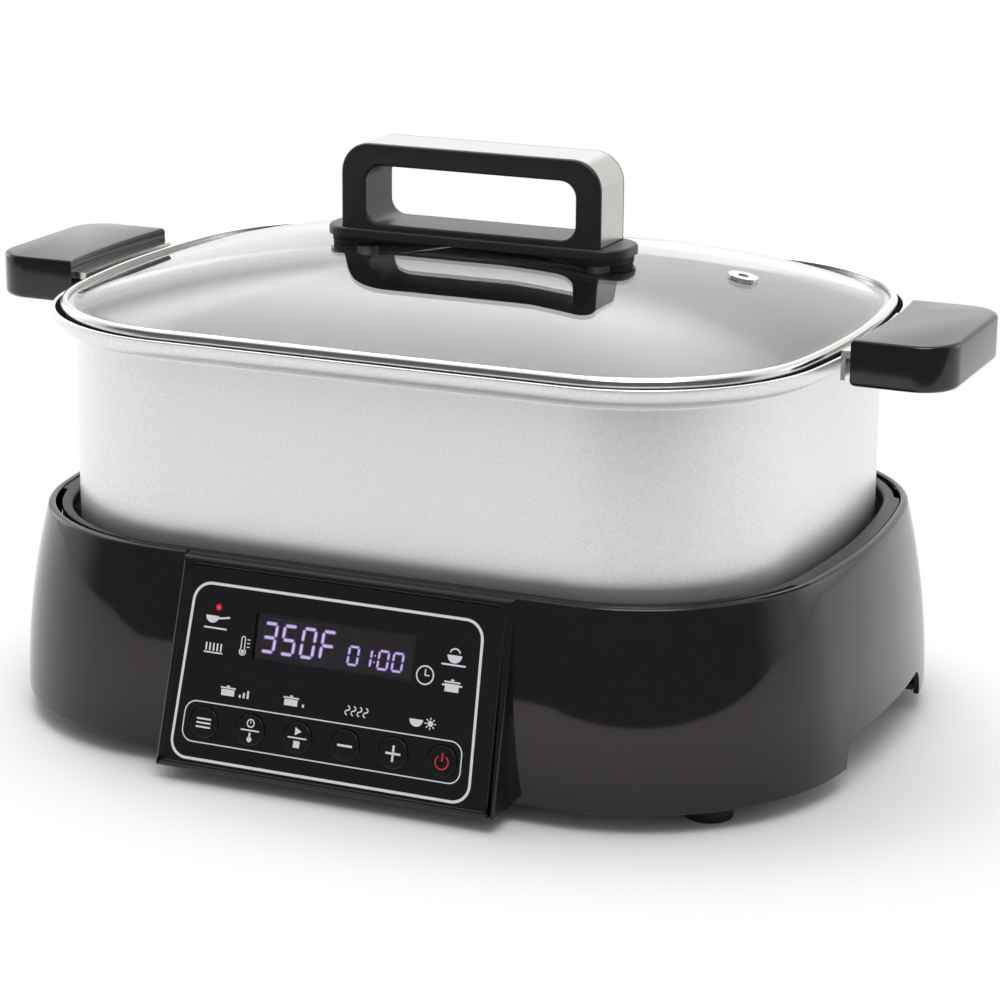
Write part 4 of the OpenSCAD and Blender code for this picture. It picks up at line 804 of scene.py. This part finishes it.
# Lid band: a roll-formed stainless channel pressed on the glass edge, with a leg that stands in the
# pot's rim.
band_low, band_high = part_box("lid_band")
band_out, band_lip, leg_t, band_t = 0.0038, 0.0069, 0.0011, 0.0014
leg_round, bend_round, belly_round, crown_round, lip_end = 0.0003, 0.0006, 0.0016, 0.0022, 0.0004
leg_out, belly_z = -band_in + leg_t, glass_low.z - band_t
band = bmesh.new()
draw_wire(band, rim_half, [
    (-band_in, band_low.z, leg_round), (leg_out, band_low.z, leg_round),
    (leg_out, belly_z, bend_round), (-band_out, belly_z, belly_round),
    (-band_out, band_high.z, crown_round), (-band_lip, band_high.z, lip_end), (-band_lip, glass_edge, 0),
    (-glass_in, glass_edge, 0), (-glass_in, glass_low.z, 0), (-band_in, glass_low.z, 0)])
carry_round(band, rim_half, corner_steps=40, end_steps=20, side_steps=10)
add_piece("steel_band", band, "lid", [trim_steel], ["lid_band"])

# Lid handle: a matt black bow on a flat foot, with a silicone gasket between foot and glass. A
# brushed steel strip lies in a groove over the bow's top and sides, and two screws come up from below.
silicone = new_material("silicone", (0.025, 0.025, 0.026), 0.6)
give_finish(add_mottle(silicone, grain=700, shade=0.15, spread=0.1), "lid_washers")
handle_black = new_material("handle_black", (0.013, 0.013, 0.0135), 0.4)
add_mottle(handle_black, grain=1700, shade=0.2, haze=20, spread=0.06, bump=0.00001)
seat_low, seat_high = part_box("handle_seat")
seat_corner, seat_edge = 0.013, 0.0014
foot = bmesh.new()
seat_x, seat_y = seat_high.x, (seat_high.y - seat_low.y) / 2
close_loop(foot, [(-seat_x, -seat_y), (seat_x, -seat_y), (seat_x, seat_y), (-seat_x, seat_y)],
           seat_corner, 10)
bmesh.ops.contextual_create(foot, geom=foot.edges[:])
raise_faces(foot, (0, 0, seat_high.z - seat_low.z))
bmesh.ops.translate(foot, vec=(0, axis_y, seat_low.z), verts=foot.verts)
bmesh.ops.recalc_face_normals(foot, faces=foot.faces)
round_off(foot, [e for e in foot.edges if all(v.co.z > seat_high.z - 1e-6 for v in e.verts)],
          seat_edge, 4, "EDGES")
add_piece("handle_foot", foot, "lid", [handle_black], ["handle_seat"])
loop_low, loop_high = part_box("handle_loop")
strip_low, strip_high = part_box("handle_strip")
bow_round, eye_round, leg_w, bar_t, sill_t = 0.013, 0.007, 0.0114, 0.0094, 0.0024
bow_edge, foot_round, foot_plain = 0.0011, 0.0005, 0.0003
strip_gap, strip_t, groove_draft = 0.00015, 0.0012, 0.00002
bow_x, bow_y = loop_high.x, (loop_high.y - loop_low.y) / 2
strip_y = (strip_high.y - strip_low.y) / 2
upright = Matrix.Translation((0, axis_y, loop_low.z)) @ Matrix.Rotation(math.pi / 2, 4, "X")
bow_h = loop_high.z - loop_low.z
bow_mesh = bmesh.new()
for corners, roundings in (
        ([(-bow_x, 0), (bow_x, 0), (bow_x, bow_h), (-bow_x, bow_h)],
         (foot_round, foot_round, bow_round, bow_round)),
        ([(-bow_x + leg_w, sill_t), (bow_x - leg_w, sill_t), (bow_x - leg_w, bow_h - bar_t),
          (-bow_x + leg_w, bow_h - bar_t)], (eye_round,) * 4)):
    verts = [bow_mesh.verts.new((x, z, bow_y)) for x, z in corners]
    link_up(bow_mesh, verts)
    for vert, rounding in zip(verts, roundings):
        round_off(bow_mesh, [vert], rounding, 10)
bmesh.ops.bridge_loops(bow_mesh, edges=bow_mesh.edges[:])
raise_faces(bow_mesh, (0, 0, -2 * bow_y))
bmesh.ops.transform(bow_mesh, matrix=upright, verts=bow_mesh.verts)
bmesh.ops.recalc_face_normals(bow_mesh, faces=bow_mesh.faces)
round_off(bow_mesh, [e for e in bow_mesh.edges if e.calc_face_angle(0) > 1.2
                     and all(abs(abs(v.co.y - axis_y) - bow_y) < 1e-6 for v in e.verts)
                     and (e.verts[0].co.z + e.verts[1].co.z) / 2 > loop_low.z + foot_plain],
          bow_edge, 4, "EDGES")
for edge_y in (strip_y + strip_gap, -strip_y - strip_gap):
    bmesh.ops.bisect_plane(bow_mesh, geom=bow_mesh.verts[:] + bow_mesh.edges[:] + bow_mesh.faces[:],
                           plane_co=(0, axis_y + edge_y, 0), plane_no=(0, 1, 0))
bow_heart = Vector((0, axis_y, loop_low.z + 0.01))
bow_skin = 0.0045
groove = []
for face in bow_mesh.faces:
    spot = face.calc_center_median()
    outside = abs(spot.x) > bow_x - bow_skin or spot.z > loop_high.z - bow_skin
    faces_out = face.normal.dot((spot - bow_heart) * Vector((1, 0, 1))) > 0 and face.normal.z > -0.1
    if outside and faces_out and abs(face.normal.y) < 0.1 and abs(spot.y - axis_y) < strip_y:
        groove.append(face)
bmesh.ops.inset_region(bow_mesh, faces=groove, thickness=groove_draft, depth=-strip_t - strip_gap)
add_piece("handle_bow", bow_mesh, "lid", [handle_black], ["handle_loop"])
strip_steel = new_material("strip_steel", (0.53, 0.517, 0.50), 0.26, metallic=1.0)
add_mottle(strip_steel, grain=1200, shade=0.06, haze=30, spread=0.06)
strip = bmesh.new()
strip_foot = loop_low.z + 0.0004
path = [strip.verts.new((x, axis_y - strip_y, z)) for x, z in (
    (-bow_x, strip_foot), (-bow_x, loop_high.z), (bow_x, loop_high.z), (bow_x, strip_foot))]
link_up(strip, path, closed=False)
round_off(strip, path[1:3], bow_round, 12)
wide = bmesh.ops.extrude_edge_only(strip, edges=strip.edges[:])["geom"]
bmesh.ops.translate(strip, vec=(0, 2 * strip_y, 0),
                    verts=[v for v in wide if isinstance(v, bmesh.types.BMVert)])
bmesh.ops.recalc_face_normals(strip, faces=strip.faces)
if max(strip.faces, key=lambda f: f.calc_center_median().z).normal.z < 0:
    bmesh.ops.reverse_faces(strip, faces=strip.faces)
bmesh.ops.solidify(strip, geom=strip.faces[:], thickness=strip_t)
bmesh.ops.recalc_face_normals(strip, faces=strip.faces)
add_piece("handle_trim", strip, "lid", [strip_steel], ["handle_strip"])

# Studio: a plain white floor that ends about a metre in front of the cooker, in a white room that is
# dark in front, where the camera stands. The floor holds the cooker's shadow and goes over into the
# white of the room a hand's breadth away from it.
floor_turn, floor_back, floor_half = math.radians(24), 0.31, (1.5, 0.84)
floor_mesh = bmesh.new()
bmesh.ops.create_grid(floor_mesh, x_segments=1, y_segments=1, size=1,
                      matrix=Matrix.Rotation(floor_turn, 4, "Z") @ Matrix.Translation((0, floor_back, 0))
                      @ Matrix.Diagonal((*floor_half, 1, 1)))
mesh = bpy.data.meshes.new("floor")
floor_mesh.to_mesh(mesh)
floor_mesh.free()
floor = bpy.data.objects.new("floor", mesh)
bpy.context.scene.collection.objects.link(floor)
floor_white = new_material("floor_white", (0.96, 0.96, 0.96), 0.9, Specular_IOR_Level=0.0)
floor.data.materials.append(floor_white)
tree = floor_white.node_tree
ray = add_node(tree, "LightPath")
on_floor = add_node(tree, "TexCoord")
cooker_half = ((cad_box[1][0] - cad_box[0][0]) / 2, (cad_box[1][1] - cad_box[0][1]) / 2, 1)
in_cookers = add_node(tree, "VectorMath", "DIVIDE", {1: cooker_half})
away = add_node(tree, "VectorMath", "LENGTH")
clear = add_ramp(tree, 1.0, 1.6)
shown = add_node(tree, "Math", "MULTIPLY")
room_white = add_node(tree, "Emission", values={"Color": (1, 1, 1, 1)})
go_over = add_node(tree, "MixShader")
connect(tree, (on_floor, "Object", in_cookers, 0), (in_cookers, 0, away, 0),
        (away, "Value", clear, "Value"), (clear, 0, shown, 0), (ray, "Is Camera Ray", shown, 1),
        (shown, 0, go_over, 0), (tree.nodes["Principled BSDF"], 0, go_over, 1), (room_white, 0, go_over, 2),
        (go_over, 0, tree.nodes["Material Output"], "Surface"))

# Camera: the photograph's view, from the right and a little above, with a long lens. The frame is
# shifted a little so that the cooker stands where the photograph has it.
scene = bpy.context.scene
camera_data = bpy.data.cameras.new("camera")
camera = bpy.data.objects.new("camera", camera_data)
scene.collection.objects.link(camera)
azimuth, elevation, roll = math.radians(23.83), math.radians(15.85), math.radians(0.35)
distance = 1.4048
aim = Vector((0, axis_y, 0.090))
camera_data.sensor_width = 36
camera_data.lens = 115.4
camera_data.shift_x, camera_data.shift_y = 0.0200, -0.0038
backward = Vector((math.sin(azimuth) * math.cos(elevation), -math.cos(azimuth) * math.cos(elevation),
                   math.sin(elevation)))
right = Vector((math.cos(azimuth), math.sin(azimuth), 0))
up = backward.cross(right)
turned = Matrix((right * math.cos(roll) + up * math.sin(roll), up * math.cos(roll) - right * math.sin(roll),
                 backward)).transposed().to_4x4()
camera.matrix_world = Matrix.Translation(aim + backward * distance) @ turned
scene.camera = camera
scene.view_settings.view_transform = "Standard"

# Room: white to the camera and through the glass, grey as light, and in reflections white above and
# behind but dark on the side that the camera looks from.
world = bpy.data.worlds.new("surround")
scene.world = world
world.use_nodes = True
tree = world.node_tree
dark_turn = math.radians(14)
ray = add_node(tree, "LightPath")
toward = add_node(tree, "TexCoord")
level = add_node(tree, "VectorMath", "MULTIPLY", {1: (1, 1, 0)})
bearing = add_node(tree, "VectorMath", "NORMALIZE")
ahead = add_node(tree, "VectorMath", "DOT_PRODUCT", {1: (math.sin(dark_turn), -math.cos(dark_turn), 0)})
around = add_ramp(tree, -0.12, 0.35, 1.0, 0.12)
parts = add_node(tree, "SeparateXYZ")
above = add_ramp(tree, 0.55, 0.85)
brighter = add_node(tree, "Math", "MAXIMUM")
mirrored = add_node(tree, "Mix", values={"A": 0.52})
seen = add_node(tree, "Math", "MAXIMUM")
strength = add_node(tree, "Mix", values={"B": 1.0})
background = tree.nodes["Background"]
background.inputs["Color"].default_value = (1, 1, 1, 1)
connect(tree, (toward, "Generated", level, 0), (level, 0, bearing, 0), (bearing, 0, ahead, 0),
        (ahead, "Value", around, "Value"), (toward, "Generated", parts, 0), (parts, "Z", above, "Value"),
        (around, 0, brighter, 0), (above, 0, brighter, 1), (ray, "Is Glossy Ray", mirrored, "Factor"),
        (brighter, 0, mirrored, "B"), (ray, "Is Camera Ray", seen, 0),
        (ray, "Is Transmission Ray", seen, 1), (seen, 0, strength, "Factor"), (mirrored, 0, strength, "A"),
        (strength, 0, background, "Strength"))

# Lamps: large soft boxes above, behind and in front and an upright one on either side, all of
# which fade towards their edges.
fade = bpy.data.node_groups.new("fade", "ShaderNodeTree")
fade.interface.new_socket("Strength", in_out="OUTPUT", socket_type="NodeSocketFloat")
spread = add_node(fade, "NewGeometry")
centred = add_node(fade, "VectorMath", "SUBTRACT", {1: (0.5, 0.5, 0)})
folded = add_node(fade, "VectorMath", "ABSOLUTE")
sides = add_node(fade, "SeparateXYZ")
across = add_ramp(fade, 0.5, 0.15)
along = add_ramp(fade, 0.5, 0.15)
both = add_node(fade, "Math", "MULTIPLY")
connect(fade, (spread, "Parametric", centred, 0), (centred, 0, folded, 0), (folded, 0, sides, 0),
        (sides, "X", across, "Value"), (sides, "Y", along, "Value"), (across, 0, both, 0),
        (along, 0, both, 1), (both, 0, fade.nodes.new("NodeGroupOutput"), "Strength"))
for name, spot, target, size, power in (
        ("top_box", (-0.54, 0.77, 1.40), (-0.18, 0.33, 0.0), (2.6, 2.4), 46),
        ("back_box", (-0.5, 2.6, 0.70), (0, 0, 0.2), (4.4, 1.8), 6),
        ("front_box", (0.55, -0.95, 1.55), (0.1, -0.1, 0.0), (1.6, 1.1), 28),
        ("left_box", (-1.25, 0.30, 0.40), (0, 0, 0.08), (0.9, 0.9), 3.5),
        ("right_box", (1.05, 0.80, 0.40), (0.1, 0, 0.08), (0.9, 0.9), 2.5)):
    lamp = bpy.data.lights.new(name, "AREA")
    lamp.shape = "RECTANGLE"
    lamp.size, lamp.size_y = size
    lamp.energy = power
    lamp.use_nodes = True
    group = lamp.node_tree.nodes.new("ShaderNodeGroup")
    group.node_tree = fade
    connect(lamp.node_tree, (group, "Strength", lamp.node_tree.nodes["Emission"], "Strength"))
    box = bpy.data.objects.new(name, lamp)
    aim_at = (Vector(target) - Vector(spot)).to_track_quat("-Z", "Y").to_matrix().to_4x4()
    box.matrix_world = Matrix.Translation(spot) @ aim_at
    box.visible_camera = False
    scene.collection.objects.link(box)
